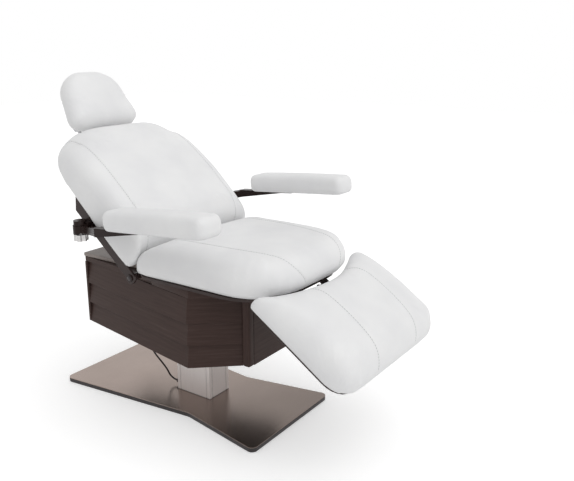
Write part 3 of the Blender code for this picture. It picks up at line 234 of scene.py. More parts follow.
lead_top, lead_foot = lead_points[0], lead_points[-1]
column_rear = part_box("column_outer")[1].y
cabinet_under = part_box("cabinet_floor")[0].z
GLAND_GAP = 0.0003
ribs = [(0.0, 0.0085), (0.30, 0.0085), (0.32, 0.0078)]
for rib in (0.36, 0.52, 0.68, 0.84):
    ribs += [(rib, 0.0068), (rib + 0.03, 0.0076), (rib + 0.10, 0.0074), (rib + 0.13, 0.0062)]
ribbed("lead_foot_gland", (lead_foot.x, column_rear + GLAND_GAP, lead_foot.z),
       lead_foot - Vector((0, GLAND_GAP, 0)), ribs + [(1.0, 0.0050)])
ribbed("lead_top_gland", (lead_top.x, lead_top.y, cabinet_under - GLAND_GAP),
       lead_top + Vector((0, 0, GLAND_GAP)),
       [(0.0, 0.009), (0.25, 0.0088), (0.30, 0.0075), (0.55, 0.0068), (0.60, 0.0061), (1.0, 0.0052)])

# Floor plate
# A heavy waisted steel plate, black on its edges, with a thin brushed sheet bonded on top.
# Black paint: low gloss, faint orange peel, rubbed a little paler in places.
black_paint, tree, shader, place = new_material("black_paint", 0.4)
peel = grain(tree, place, 260.0)
rubbed = ramp(tree, grain(tree, place, 14.0), [(0.3, "221c1d"), (0.75, "2f2728")])
tree.links.new(rubbed, shader.inputs["Base Color"])
tree.links.new(between(tree, peel, 0.32, 0.5), shader.inputs["Roughness"])
bump(tree, shader, peel, 0.00015)

# Brushed bronze: tinted steel with long hairlines across the plate, drawn 0.4 mm apart.
# The tone deepens towards the front: painted shade for the darker reflections of the chair above it.
bronze, tree, shader, place = new_material("brushed_bronze", 0.16, 1.0)
hairline = grain(tree, place, 12.0, 4.0, (1.0, 200.0, 1.0))
cloud = grain(tree, place, 5.0, 2.0)
tint = add(tree, "ShaderNodeMix", {"Factor": 0.35, "A": hairline, "B": cloud}, data_type="FLOAT").outputs[0]
along = add(tree, "ShaderNodeSeparateXYZ", {"Vector": place}).outputs["Y"]
# Painted shade: the sheet's colour is mixed towards black towards the front.
painted_front_shade = add(tree, "ShaderNodeMapRange", {"Value": along, "From Min": -0.45, "From Max": 0.25, "To Min": 0.55})
toned = add(tree, "ShaderNodeMix", {"A": colour("000000"), "B": ramp(
    tree, tint, [(0.25, "93847c"), (0.75, "ab9c94")]), "Factor": painted_front_shade.outputs[0]}, data_type="RGBA")
tree.links.new(toned.outputs["Result"], shader.inputs["Base Color"])
tree.links.new(between(tree, hairline, 0.2, 0.3), shader.inputs["Roughness"])
shader.inputs["Anisotropic"].default_value = 0.3
bump(tree, shader, hairline, 0.00002)


def welded(node):
    """A node's mesh with its split corners joined and its flat faces whole."""
    bm = bmesh.new()
    bm.from_mesh(frame["nodes"][node].data)
    bmesh.ops.remove_doubles(bm, verts=bm.verts, dist=0.00001)
    bmesh.ops.dissolve_limit(bm, angle_limit=math.radians(1), verts=bm.verts, edges=bm.edges)
    return bm


def softened(node, width, material, segments=3, over=30, reshape=None):
    """A copy of a rigid node with its sharp edges broken, in place of the node."""
    bm = welded(node)
    if reshape:
        reshape(bm)
    sharp = [e for e in bm.edges if len(e.link_faces) == 2 and e.calc_face_angle() > math.radians(over)]
    bmesh.ops.bevel(bm, geom=sharp, offset=width, segments=segments, profile=0.5, affect="EDGES",
                    clamp_overlap=True)
    mesh = bpy.data.meshes.new(node + "_finished")
    bm.to_mesh(mesh)
    bm.free()
    piece = placed(node + "_finished", mesh, material)
    mesh.set_sharp_from_angle(angle=math.radians(40))
    piece.modifiers.new("even_shading", "WEIGHTED_NORMAL").keep_sharp = True
    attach(piece, frame["nodes"][node]["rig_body"])
    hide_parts(node)
    return piece


softened("floor_plate", 0.003, black_paint, over=50)
softened("plate_skin", 0.0009, bronze, over=50)

# Lifting column
# Three nested aluminium extrusions; the outer one has a pair of grooves in each face. Anodised, satin.
# Anodised aluminium: fine upright draw lines 0.6 mm apart, with painted shade that darkens the grooves and
# inner corners.
anodised, tree, shader, place = new_material("anodised_aluminium", 0.36, 0.3)
drawn = grain(tree, place, 14.0, 3.0, (120.0, 120.0, 1.0))
# Painted shade: ambient occlusion darkens the base colour in the grooves.
painted_groove_shade = add(tree, "ShaderNodeAmbientOcclusion", {
    "Color": ramp(tree, drawn, [(0.3, "e4dcd9"), (0.7, "f0e9e6")]), "Distance": 0.006})
tree.links.new(painted_groove_shade.outputs["Color"], shader.inputs["Base Color"])
tree.links.new(between(tree, drawn, 0.3, 0.44), shader.inputs["Roughness"])
bump(tree, shader, drawn, 0.00003)
softened("column_outer", 0.0008, anodised, 2)
for node in ("column_middle", "column_inner"):
    softened(node, 0.0006, anodised, 2)

# Works inside the cabinet and the column
# Bright zinc-plated steel rods and tubes, and black moulded motors and boxes, bolted to the frames.
# They show only when the chair is lifted or tilted.
# Zinc plate: pale grey with a soft mottle.
zinc, tree, shader, place = new_material("zinc_plated_steel", 0.32, 1.0)
mottle = grain(tree, place, 45.0)
tree.links.new(ramp(tree, mottle, [(0.3, "a3a3a6"), (0.7, "b9b9bb")]), shader.inputs["Base Color"])
tree.links.new(between(tree, mottle, 0.26, 0.4), shader.inputs["Roughness"])

# Moulded black plastic: even satin with a fine spark texture 1 mm across.
black_plastic, tree, shader, place = new_material("black_plastic", 0.5)
spark = grain(tree, place, 1000.0, 1.0)
tree.links.new(ramp(tree, spark, [(0.3, "1a1a1b"), (0.7, "222223")]), shader.inputs["Base Color"])
bump(tree, shader, spark, 0.00008)

for node in ("lift_screw", "lift_nut_tube", "head_yoke", "back_rod", "foot_rod"):
    softened(node, 0.0006, zinc, 2)
for node in ("lift_motor", "back_actuator", "foot_actuator", "control_box", "head_socket"):
    softened(node, 0.0012, black_plastic, 2)

# Cabinet
# Dark wenge-effect laminate on board: lapped slats on each side, plain panels front and rear, corner posts.
# Edges are banded; the boards are glued and pinned from inside.
# Wenge laminate: fine dark pores drawn out along the board, about 2.5 mm apart.
def wood(name, stretch, stops, gloss):
    """A printed wood laminate, with figure and pores drawn out along the board."""
    made, tree, shader, place = new_material(name, 0.4)
    shader.inputs["Specular IOR Level"].default_value = 0.1
    figure = grain(tree, place, 5.0, 6.0, stretch)
    pores = grain(tree, place, 16.0, 3.0, stretch)
    mixed = add(tree, "ShaderNodeMix", {"Factor": 0.45, "A": figure, "B": pores}, data_type="FLOAT")
    tree.links.new(ramp(tree, mixed.outputs[0], stops), shader.inputs["Base Color"])
    tree.links.new(between(tree, pores, *gloss), shader.inputs["Roughness"])
    bump(tree, shader, pores, 0.00012)
    return made


WENGE_STOPS = [(0.32, "3d2f2b"), (0.52, "453632"), (0.72, "4d3f3b")]
wenge = wood("wenge_laminate", (1.0, 1.0, 26.0), WENGE_STOPS, (0.36, 0.5))
wenge_upright = wood("wenge_laminate_upright", (26.0, 26.0, 1.0), WENGE_STOPS, (0.36, 0.5))
HAIR_GAP = 0.0005
AT_LEVEL = 0.002
seat_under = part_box("seat_board")[0].z - HAIR_GAP


def raised(bm):
    """Carries a board's top edge up to the seat."""
    top = max(vert.co.z for vert in bm.verts)
    for vert in bm.verts:
        if vert.co.z > top - AT_LEVEL:
            vert.co.z = seat_under


for hand in ("right", "left"):
    for row in (1, 2, 3):
        softened(f"side_slat_{hand}_{row}", 0.0012, wenge, over=35)
    softened(f"corner_post_{hand}", 0.002, wenge_upright, reshape=raised)
softened("front_panel", 0.0015, wenge, reshape=raised)
for node in ("rear_panel", "cabinet_floor", "cabinet_deck"):
    softened(node, 0.0015, wenge)

# Upper rails
# A narrow board on each side that closes the cabinet between the top slat and the seat.
# Wenge laminate, mitred at the chamfer and glued to the posts.
RAIL_PATH = [(0.2085, -0.008), (0.2425, -0.212), (0.1285, -0.3545)]
RAIL_THICK = 0.009
RAIL_MITRE = 0.35
RAIL_EDGE = 0.001
RAIL_GAP = 0.0003
slat_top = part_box("side_slat_right_3")[1].z + RAIL_GAP
for side, hand in ((-1, "right"), (1, "left")):
    bm = bmesh.new()
    rows = []
    for shift in (0.0, RAIL_THICK):
        for level in (slat_top, seat_under):
            line = [(side * (x - shift), y + RAIL_MITRE * shift, level) for x, y in RAIL_PATH]
            rows.append([bm.verts.new(point) for point in line])
    for first, second in ((0, 1), (1, 3), (3, 2), (2, 0)):
        for step in range(len(RAIL_PATH) - 1):
            near, far = rows[first][step:step + 2], rows[second][step:step + 2]
            bm.faces.new((*near, *reversed(far)))
    for end in (0, -1):
        bm.faces.new((rows[0][end], rows[1][end], rows[3][end], rows[2][end]))
    bmesh.ops.recalc_face_normals(bm, faces=bm.faces)
    bmesh.ops.bevel(bm, geom=bm.edges[:], offset=RAIL_EDGE, segments=2, profile=0.5, affect="EDGES",
                    clamp_overlap=True)
    mesh = bpy.data.meshes.new(f"upper_rail_{hand}")
    bm.to_mesh(mesh)
    bm.free()
    upper_rail = placed(f"upper_rail_{hand}", mesh, wenge)
    mesh.set_sharp_from_angle(angle=math.radians(40))
    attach(upper_rail, "chassis")

# Rear top board
# The pale board that closes the cabinet behind the seat, in taupe laminate with a rounded lip.
# Taupe laminate: a warm grey print with faint lengthwise figure.
TAUPE_STOPS = [(0.3, "8f8581"), (0.55, "99908b"), (0.75, "a29994")]
taupe = wood("taupe_laminate", (1.0, 26.0, 26.0), TAUPE_STOPS, (0.3, 0.42))
softened("rear_top_board", 0.002, taupe)

# Chassis and frames
# Welded flat bars, bearings, levers and boards under the pads, powder-coated dark brown.
# Powder coat: satin with an orange peel about 2.5 mm across, a little paler where it is rubbed.
def coated(name, stops, shine):
    """A powder coat in two close tones, with its share of shine."""
    made, tree, shader, place = new_material(name, 0.25)
    shader.inputs["Specular IOR Level"].default_value = shine
    peel = grain(tree, place, 400.0, 2.0)
    tree.links.new(ramp(tree, grain(tree, place, 12.0), stops), shader.inputs["Base Color"])
    tree.links.new(between(tree, peel, 0.2, 0.3), shader.inputs["Roughness"])
    bump(tree, shader, peel, 0.00012)
    return made


powder = coated("dark_brown_powder_coat", [(0.3, "352a28"), (0.75, "3f3331")], 0.22)
# A darker, less shiny copy of the same coat for the arm brackets and bosses: painted shade for the shadow
# under the pads.
powder_in_painted_shade = coated("powder_coat_painted_shade", [(0.3, "261c1a"), (0.75, "2e2321")], 0.12)


def clipped(bm):
    """Cuts a seat rail off at the inside of the cabinet's chamfer."""
    side = math.copysign(1.0, sum(vert.co.x for vert in bm.verts))
    start, end = (Vector((side * (x - 2 * RAIL_THICK), y + RAIL_THICK, 0.0)) for x, y in RAIL_PATH[1:])
    out = (end - start).cross(Vector((0, 0, side)))
    everything = bm.verts[:] + bm.edges[:] + bm.faces[:]
    bmesh.ops.bisect_plane(bm, geom=everything, plane_co=start, plane_no=-out, clear_outer=True)
    bmesh.ops.holes_fill(bm, edges=[e for e in bm.edges if e.is_boundary])


GUSSET_TIP = Vector((-0.165, 0.748))
GUSSET_FALL = 0.185
FACES_DOWN = -0.7
HUB_UNDER = 0.6735
SWIVEL = Vector((0.306, 0.232))
SWIVEL_Z = 0.692
HUB_TOP = 0.705
BOSS_RIM = (0.0185, 0.0195)
BOSS_RADIUS = 0.0235
HUB_RIM = (0.0235, 0.0245)
HUB_RADIUS = 0.0268
BAR_SIDE = -0.45
BAR_WIDER = 0.015
BAR_END_CUT = 0.040
BOARD_WIDER = 1.04
BOARD_FORWARD = 0.034
BOARD_NOSE = 0.2
BACK_PIVOT = Vector((0, 0.03, 0.535))
back_place = Matrix.Translation(BACK_PIVOT) @ Matrix.Rotation(math.radians(43.2), 4, "X")


def swollen(bm, low, high, radius):
    """Brings the round rim about an arm's swivel, between two radii, out to a new radius, but not the bar."""
    for vert in bm.verts:
        axis = Vector((math.copysign(SWIVEL.x, vert.co.x), SWIVEL.y))
        away = vert.co.xy - axis
        if low < away.length < high and away.y > BAR_SIDE * high:
            vert.co.xy = axis + away.normalized() * radius


def rounded_boss(bm):
    """Makes a boss a low round cap over the arm's hub."""
    swollen(bm, *BOSS_RIM, BOSS_RADIUS)
    for vert in bm.verts:
        vert.co.z = max(vert.co.z, HUB_TOP + HAIR_GAP)


def widened(bm):
    """Widens a back bar to the rear and cuts its top end upright."""
    bmesh.ops.transform(bm, matrix=back_place.inverted(), verts=bm.verts)
    low, high = (pick(vert.co.z for vert in bm.verts) for pick in (min, max))
    end = max(vert.co.y for vert in bm.verts)
    for vert in bm.verts:
        if vert.co.z < (low + high) / 2:
            vert.co.z -= BAR_WIDER * max(0.0, vert.co.y / end)
            if vert.co.y > end - AT_LEVEL:
                vert.co.y -= BAR_END_CUT
    bmesh.ops.transform(bm, matrix=back_place, verts=bm.verts)


def deepened(bm):
    """Fills the corner under an arm's bar with a gusset that runs straight from the swivel to its tip."""
    everything = bm.verts[:] + bm.edges[:] + bm.faces[:]
    bmesh.ops.bisect_plane(bm, geom=everything, plane_co=(0, GUSSET_TIP.x, 0), plane_no=(0, 1, 0),
                           dist=1e-6)
    bm.normal_update()
    under = {vert for face in bm.faces if face.normal.z < FACES_DOWN for vert in face.verts}
    for vert in under:
        line = max(HUB_UNDER, GUSSET_TIP.y - GUSSET_FALL * (vert.co.y - GUSSET_TIP.x))
        if vert.co.y > GUSSET_TIP.x + 0.001:
            vert.co.z = min(vert.co.z, line)
    swollen(bm, *HUB_RIM, HUB_RADIUS)
    for vert in bm.verts:
        if abs(vert.co.z - SWIVEL_Z) < AT_LEVEL:
            vert.co.z = HUB_TOP


def grown(bm):
    """Carries the seat board's edge out under the pad's roll, most at the front."""
    front = min(vert.co.y for vert in bm.verts)
    for vert in bm.verts:
        vert.co.x *= BOARD_WIDER
        if vert.co.y < front + BOARD_NOSE:
            vert.co.y -= BOARD_FORWARD * (front + BOARD_NOSE - vert.co.y) / BOARD_NOSE


softened("seat_board", 0.0015, powder, 2, reshape=grown)
for node in ("back_board", "foot_board", "head_board", "foot_frame", "chassis_plate", "back_shaft"):
    softened(node, 0.0015, powder, 2)
for hand in ("right", "left"):
    for node in ("back_bearing", "foot_ear"):
        softened(f"{node}_{hand}", 0.0014, powder)
    softened(f"back_bar_{hand}", 0.0014, powder, reshape=widened)
    softened(f"arm_boss_{hand}", 0.006, powder_in_painted_shade, 4, reshape=rounded_boss)
    softened(f"arm_bracket_{hand}", 0.0014, powder_in_painted_shade, reshape=deepened)
    softened(f"seat_rail_{hand}", 0.001, powder, reshape=clipped)
    softened(f"arm_board_{hand}", 0.0015, black_paint)

# Clamp knobs
# A lobed hand knob under each arm's swivel, cast and satin-chromed, with its bolt.
# Satin chrome: bright, with faint rub marks.
chrome, tree, shader, place = new_material("satin_chrome", 0.2, 1.0)
rub = grain(tree, place, 120.0)
tree.links.new(ramp(tree, rub, [(0.3, "b3b1b1"), (0.7, "cfcdcc")]), shader.inputs["Base Color"])
tree.links.new(between(tree, rub, 0.16, 0.3), shader.inputs["Roughness"])
KNOB_TOP = 0.6717
KNOB_STRETCH = 1.45


def taller(bm):
    """Draws the knob's lobed body down from its top."""
    for vert in bm.verts:
        vert.co.z = min(vert.co.z, KNOB_TOP + (vert.co.z - KNOB_TOP) * KNOB_STRETCH)


for hand in ("right", "left"):
    softened(f"arm_knob_{hand}", 0.002, chrome, over=45, reshape=taller)

# Upholstery
# Foam pads on plywood, covered in white leatherette.
# The cover is pulled over the edges and stapled under the boards.
# Leatherette: embossed with a pebble 1.6 mm across, slightly uneven in tone and gloss.
leatherette, tree, shader, place = new_material("white_leatherette", 0.42)
pebble = add(tree, "ShaderNodeTexVoronoi", {"Vector": place, "Scale": 620.0}).outputs["Distance"]
tone = grain(tree, place, 7.0)
tree.links.new(ramp(tree, tone, [(0.3, "e2e2e3"), (0.7, "eaeaea")]), shader.inputs["Base Color"])
tree.links.new(between(tree, tone, 0.38, 0.5), shader.inputs["Roughness"])
bump(tree, shader, pebble, 0.00025, 0.5)

ROLL_TURNS = range(9, 91, 9)
MOST_ROLL = 0.96
VOXEL = 0.0062
SHRINK = 0.003
CLOTH_SHARE = 0.3
STAPLED_BAND = 0.012
COVER_PRESSURE = 4.0
COVER_TICKS = 20


def inner_lines(low, high, low_roll, high_roll, count):
    """Grid places between two ends: several in each end's roll, the rest spread evenly."""
    places = []
    for turn in ROLL_TURNS:
        share = 1.0 - math.cos(math.radians(turn))
        places += [low + low_roll * share, high - high_roll * share]
    first, last = low + low_roll, high - high_roll
    return places + [first + (last - first) * step / count for step in range(1, count)]


def rolled(share_in, deep):
    """How far a rolled edge has dropped at a share of its width from the edge."""
    reach = 1.0 - max(0.0, min(1.0, share_in))
    return deep * (1.0 - math.sqrt(1.0 - reach * reach))


def eased(share):
    """A share from 0 to 1 with a soft start and end."""
    share = max(0.0, min(1.0, share))
    return share * share * (3.0 - 2.0 * share)


def foam(half, front, rear, base, thick, crown, draw_in, corners, top_roll, base_roll, half_front=None,
         hollow=0.0, blend=6, flare=0.0, droop=0.0, tuck=0.0, notch=0.0):
    """The pad's form in its own frame, as a closed mesh.

    A roll gives the widths of the side, front and rear edges, then their depths. Towards the rear end, flare
    widens the side rolls, droop lowers the two shoulders and hollow draws the middle in. At the front end,
    tuck widens the roll in the middle and notch draws the middle back.
    """
    half_front = half if half_front is None else half_front
    mid, reach = (front + rear) / 2, (rear - front) / 2
    bm = bmesh.new()
    bmesh.ops.create_cube(bm, size=1.0)
    bmesh.ops.scale(bm, vec=(2 * half, 2 * reach, thick), verts=bm.verts)
    bmesh.ops.translate(bm, vec=(0, mid, thick / 2), verts=bm.verts)
    for axis, places in enumerate((inner_lines(-half, half, top_roll[0], top_roll[0], 8),
                                   inner_lines(front, rear, top_roll[1], top_roll[2], 8),
                                   [thick * step / 5 for step in range(1, 5)])):
        normal = [float(axis == 0), float(axis == 1), float(axis == 2)]
        for at in places:
            everything = bm.verts[:] + bm.edges[:] + bm.faces[:]
            bmesh.ops.bisect_plane(bm, geom=everything, plane_co=[n * at for n in normal], plane_no=normal,
                                   dist=1e-6)
    for vert in bm.verts:
        x, y, z = vert.co
        end = 1 if y < mid else 2
        gap_x, gap_y = half - abs(x), reach - abs(y - mid)
        radius = corners[end - 1]
        over = Vector((radius - gap_x, radius - gap_y))
        plan = Vector((abs(x), abs(y - mid)))
        if over.x > 0 and over.y > 0:
            plan = Vector((half - radius, reach - radius)) + over.normalized() * max(over)
        bends = []
        wider = 1.0 + flare * max(0.0, (y - mid) / reach) ** 4
        for edge, spread in ((top_roll, wider), (base_roll, 1.0)):
            side_bend = rolled(gap_x / (edge[0] * spread), edge[3] * (1.0 + spread) / 2)
            tucked = 1.0 + (tuck * (1.0 - (x / half) ** 10) if end == 1 else 0.0)
            end_bend = rolled(gap_y / (edge[end] * tucked), edge[end + 3] * (0.7 + 0.3 * tucked))
            bends.append((side_bend ** blend + end_bend ** blend) ** (1 / blend))
        fit = min(1.0, MOST_ROLL * thick / max(sum(bends), MOST_ROLL * thick))
        drop, lift = bends[0] * fit, bends[1] * fit
        z = lift + z / thick * (thick - drop - lift)
        z -= droop * eased((abs(x) / half - 0.3) / 0.7) * eased(((y - mid) / reach + 0.2) / 1.2) * z / thick
        along = plan.y / reach
        x = math.copysign(plan.x, x)
        y = mid + math.copysign(plan.y, y - mid)
        x *= 1.0 - draw_in / half * (1.0 - along * along)
        x *= 1.0 + (half_front / half - 1.0) * (rear - y) / (rear - front)
        y -= hollow * max(0.0, 1.0 - (x / half) ** 2) * max(0.0, along if y > mid else 0.0) ** 2
        y += notch * max(0.0, 1.0 - (x / half) ** 10) * max(0.0, along if y < mid else 0.0) ** 4
        swell = max(0.0, 1.0 - (x / half) ** 2) * max(0.0, 1.0 - along * along)
        upper = max(0.0, min(1.0, (z / thick - 0.4) / 0.5))
        vert.co = (x, y, z + crown * swell * upper + base)
    bmesh.ops.recalc_face_normals(bm, faces=bm.faces)
    mesh = bpy.data.meshes.new("foam")
    bm.to_mesh(mesh)
    bm.free()
    return mesh


def applied(piece):
    """Takes a piece's modifiers into its mesh."""
    bpy.context.view_layer.update()
    mesh = bpy.data.meshes.new_from_object(piece.evaluated_get(bpy.context.evaluated_depsgraph_get()))
    piece.modifiers.clear()
    piece.data = mesh
    return mesh


def places_of(mesh, kind="co"):
    """The places, or the normals, of a mesh's points as rows of three."""
    held = np.empty(len(mesh.vertices) * 3)
    mesh.vertices.foreach_get(kind, held)
    return held.reshape(-1, 3)


def upholster(name, mesh, base, cap, full=0.0015, eased_by=6):
    """Pulls a cover over a foam form: an even skin, eased, blown out by a cloth run, then made finer."""
    piece = placed(name, mesh, leatherette)
    skin = piece.modifiers.new("skin", "REMESH")
    skin.mode = "VOXEL"
    skin.voxel_size = VOXEL
    ease = piece.modifiers.new("ease", "SMOOTH")
    ease.factor = 0.5
    ease.iterations = eased_by
    mesh = applied(piece)
    start = places_of(mesh)
    held = start[:, 2] < base + STAPLED_BAND
    start += np.where(held[:, None], 0.0, places_of(mesh, "normal") * full)
    mesh.vertices.foreach_set("co", start.ravel())
    inward = np.where(held[:, None], 0.0, places_of(mesh, "normal") * SHRINK)
    mesh.vertices.foreach_set("co", (start - inward).ravel())
    pins = piece.vertex_groups.new(name="stapled")
    pins.add(np.flatnonzero(held).tolist(), 1.0, "REPLACE")
    cloth = piece.modifiers.new("cover", "CLOTH")
    cloth.settings.use_pressure = True
    cloth.settings.uniform_pressure_force = COVER_PRESSURE
    cloth.settings.vertex_group_mass = "stapled"
    cloth.settings.effector_weights.gravity = 0.0
    cloth.settings.quality = 4
    cloth.point_cache.frame_end = COVER_TICKS
    for tick in range(1, COVER_TICKS + 1):
        scene.frame_set(tick)
    blown = applied(piece)
    moved = places_of(blown) - start
    far = np.linalg.norm(moved, axis=1, keepdims=True)
    moved *= CLOTH_SHARE * np.minimum(1.0, cap / np.maximum(far, 1e-9))
    blown.vertices.foreach_set("co", (start + moved).ravel())
    piece.vertex_groups.clear()
    scene.frame_set(1)
    fine = piece.modifiers.new("fine", "SUBSURF")
    fine.levels = fine.render_levels = 1
    applied(piece)
    return piece


def stitch_tree():
    """Stitches: capsules set end to end along a line, each lying on the line."""
    tree = bpy.data.node_groups.new("stitches", "GeometryNodeTree")
    tree.interface.new_socket("Geometry", in_out="INPUT", socket_type="NodeSocketGeometry")
    for label in ("Pitch", "Length", "Thickness"):
        tree.interface.new_socket(label, in_out="INPUT", socket_type="NodeSocketFloat")
    tree.interface.new_socket("Thread", in_out="INPUT", socket_type="NodeSocketMaterial")
    tree.interface.new_socket("Geometry", in_out="OUTPUT", socket_type="NodeSocketGeometry")
    given = add(tree, "NodeGroupInput").outputs
    line = add(tree, "GeometryNodeMeshToCurve", {"Mesh": given["Geometry"]}).outputs[0]
    stops = add(tree, "GeometryNodeResampleCurve", {"Curve": line, "Length": given["Pitch"]}, mode="LENGTH")
    tangent = add(tree, "GeometryNodeInputTangent").outputs[0]
    turn = add(tree, "FunctionNodeAlignRotationToVector", {"Vector": tangent}, axis="Z").outputs[0]
    bead = add(tree, "GeometryNodeMeshUVSphere", {"Segments": 8, "Rings": 6, "Radius": 1.0}).outputs["Mesh"]
    size = add(tree, "ShaderNodeCombineXYZ",
               {"X": given["Thickness"], "Y": given["Thickness"], "Z": given["Length"]}).outputs[0]
    sewn = add(tree, "GeometryNodeInstanceOnPoints",
               {"Points": stops.outputs[0], "Instance": bead, "Rotation": turn, "Scale": size}).outputs[0]
    real = add(tree, "GeometryNodeRealizeInstances", {"Geometry": sewn}).outputs[0]
    done = add(tree, "GeometryNodeSetMaterial", {"Geometry": real, "Material": given["Thread"]}).outputs[0]
    add(tree, "NodeGroupOutput", {0: done})
    return tree


# Thread: bonded polyester, a shade greyer than the cover, with a twist 1 mm long.
thread, tree, shader, place = new_material("grey_thread", 0.6)
twist = grain(tree, place, 1000.0, 1.0)
tree.links.new(ramp(tree, twist, [(0.3, "b4b4b5"), (0.7, "cbcbcc")]), shader.inputs["Base Color"])
stitches = stitch_tree()
# Stitches are drawn 9.5 mm apart, coarser than real ones, so that they show at the photo's size.
STITCH = {"Pitch": 0.0095, "Length": 0.0032, "Thickness": 0.0009, "Thread": thread}
SEAM_DEPTH = 0.0016
SEAM_WIDE = 0.0035
SEAM_STEPS = 12
THREAD_PROUD = 0.0004


def repeated(piece, group, values):
    """Runs a node group over a piece with named values and keeps the result as plain mesh."""
    step = piece.modifiers.new(group.name, "NODES")
    step.node_group = group
    for item in group.interface.items_tree:
        if item.in_out == "INPUT" and item.name in values:
            step[item.identifier] = values[item.name]
    applied(piece).shade_smooth()
    return piece


def sew(piece, name, guides):
    """Draws the cover in along each guide line and sews it there; guides are in the pad's own frame."""
    mesh = piece.data
    surface = BVHTree.FromPolygons([v.co[:] for v in mesh.vertices], [p.vertices[:] for p in mesh.polygons])
    lines = [[surface.find_nearest(p)[0] for p in smooth_route(guide, SEAM_STEPS)] for guide in guides]
    spots = places_of(mesh)
    normals = places_of(mesh, "normal")
    nearest = np.full(len(spots), 1.0)
    for line in lines:
        for a, b in zip(line, line[1:]):
            run = np.array(b - a)
            share = np.clip(((spots - np.array(a)) @ run) / max(run @ run, 1e-12), 0.0, 1.0)
            nearest = np.minimum(nearest, np.linalg.norm(spots - np.array(a) - share[:, None] * run, axis=1))
    sunk = SEAM_DEPTH * np.exp(-(nearest / SEAM_WIDE) ** 2)
    mesh.vertices.foreach_set("co", (spots - normals * sunk[:, None]).ravel())
    mesh.update()
    surface = BVHTree.FromPolygons([v.co[:] for v in mesh.vertices], [p.vertices[:] for p in mesh.polygons])
    bm = bmesh.new()
    for line in lines:
        row = []
        for point in line:
            at, normal, _, _ = surface.find_nearest(point)
            row.append(bm.verts.new(at + normal * THREAD_PROUD))
        for a, b in zip(row, row[1:]):
            bm.edges.new((a, b))
    seam = bpy.data.meshes.new(name)
    bm.to_mesh(seam)
    bm.free()
    return repeated(placed(name, seam, thread, smooth=False), stitches, STITCH)


def both_sides(points):
    """A line of points on each side of the middle."""
    return [[(side * x, y, z) for x, y, z in points] for side in (-1, 1)]


def settle(pieces, place, body, node):
    """Puts a pad and its stitches in place on its body, in place of the soft solid."""
    for piece in pieces:
        piece.data.transform(place)
        piece.data.update()
        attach(piece, body)
    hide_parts(node)


# Seat pad
# A deep foam pad with a half-round front and a soft waterfall rear edge, stapled to the seat board.
# Two seams draw together at the front.
SEAT_UNDER = 0.5513
seat_pad = upholster("seat_upholstery", foam(
    half=0.292, front=-0.596, rear=0.006, base=SEAT_UNDER, thick=0.122, crown=0.014, draw_in=0.004,
    corners=(0.20, 0.05), top_roll=(0.06, 0.07, 0.17, 0.07, 0.07, 0.105),
    base_roll=(0.038, 0.075, 0.012, 0.045, 0.05, 0.014)), SEAT_UNDER, cap=0.010)
seat_guides = both_sides([
    (0.188, -0.030, 0.62), (0.190, -0.12, 0.68), (0.190, -0.20, 0.69), (0.186, -0.30, 0.69),
    (0.179, -0.38, 0.69), (0.168, -0.45, 0.69), (0.155, -0.51, 0.675), (0.142, -0.55, 0.655),
    (0.125, -0.575, 0.63), (0.105, -0.58, 0.60)])
settle([seat_pad, sew(seat_pad, "seat_stitching", seat_guides)], Matrix(), "chassis", "seat_cushion")

# Back pad
# A thick foam pad with rounded shoulders, stapled to the back board and notched below to clear the seat.
# Two seams run up the front and over the top.
BACK_UNDER = 0.0343
back_pad = upholster("back_upholstery", foam(
    half=0.302, front=0.001, rear=0.580, base=BACK_UNDER, thick=0.147, crown=0.014, draw_in=-0.006,
    corners=(0.03, 0.16), top_roll=(0.05, 0.06, 0.115, 0.062, 0.11, 0.095),
    base_roll=(0.024, 0.012, 0.024, 0.024, 0.014, 0.022), blend=3, flare=2.0, droop=0.036, tuck=0.9,
    notch=0.027), BACK_UNDER, cap=0.010, full=0.004, eased_by=48)
back_guides = both_sides([
    (0.236, 0.015, 0.09), (0.238, 0.04, 0.15), (0.238, 0.10, 0.185), (0.238, 0.25, 0.19),
    (0.238, 0.36, 0.19), (0.238, 0.44, 0.18), (0.236, 0.50, 0.155), (0.232, 0.535, 0.12),
    (0.228, 0.545, 0.08), (0.226, 0.54, 0.05)])
settle([back_pad, sew(back_pad, "back_stitching", back_guides)], back_place, "back", "back_cushion")

# Head pad
# A small tapered foam pad, stapled to a tilting board, with no seams on its face.
HEAD_UNDER = 0.0323
head_place = back_place @ Matrix.Translation((0, 0.675, 0.037)) @ Matrix.Rotation(math.radians(13.8), 4, "X")
head_pad = upholster("head_upholstery", foam(
    half=0.120, front=-0.062, rear=0.172, base=HEAD_UNDER, thick=0.085, crown=0.006, draw_in=0.002,
    corners=(0.05, 0.09), top_roll=(0.04, 0.055, 0.045, 0.04, 0.05, 0.045), base_roll=(0.03,) * 6,
    half_front=0.168), HEAD_UNDER, cap=0.008, full=0.003)
settle([head_pad], head_place, "head", "head_cushion")

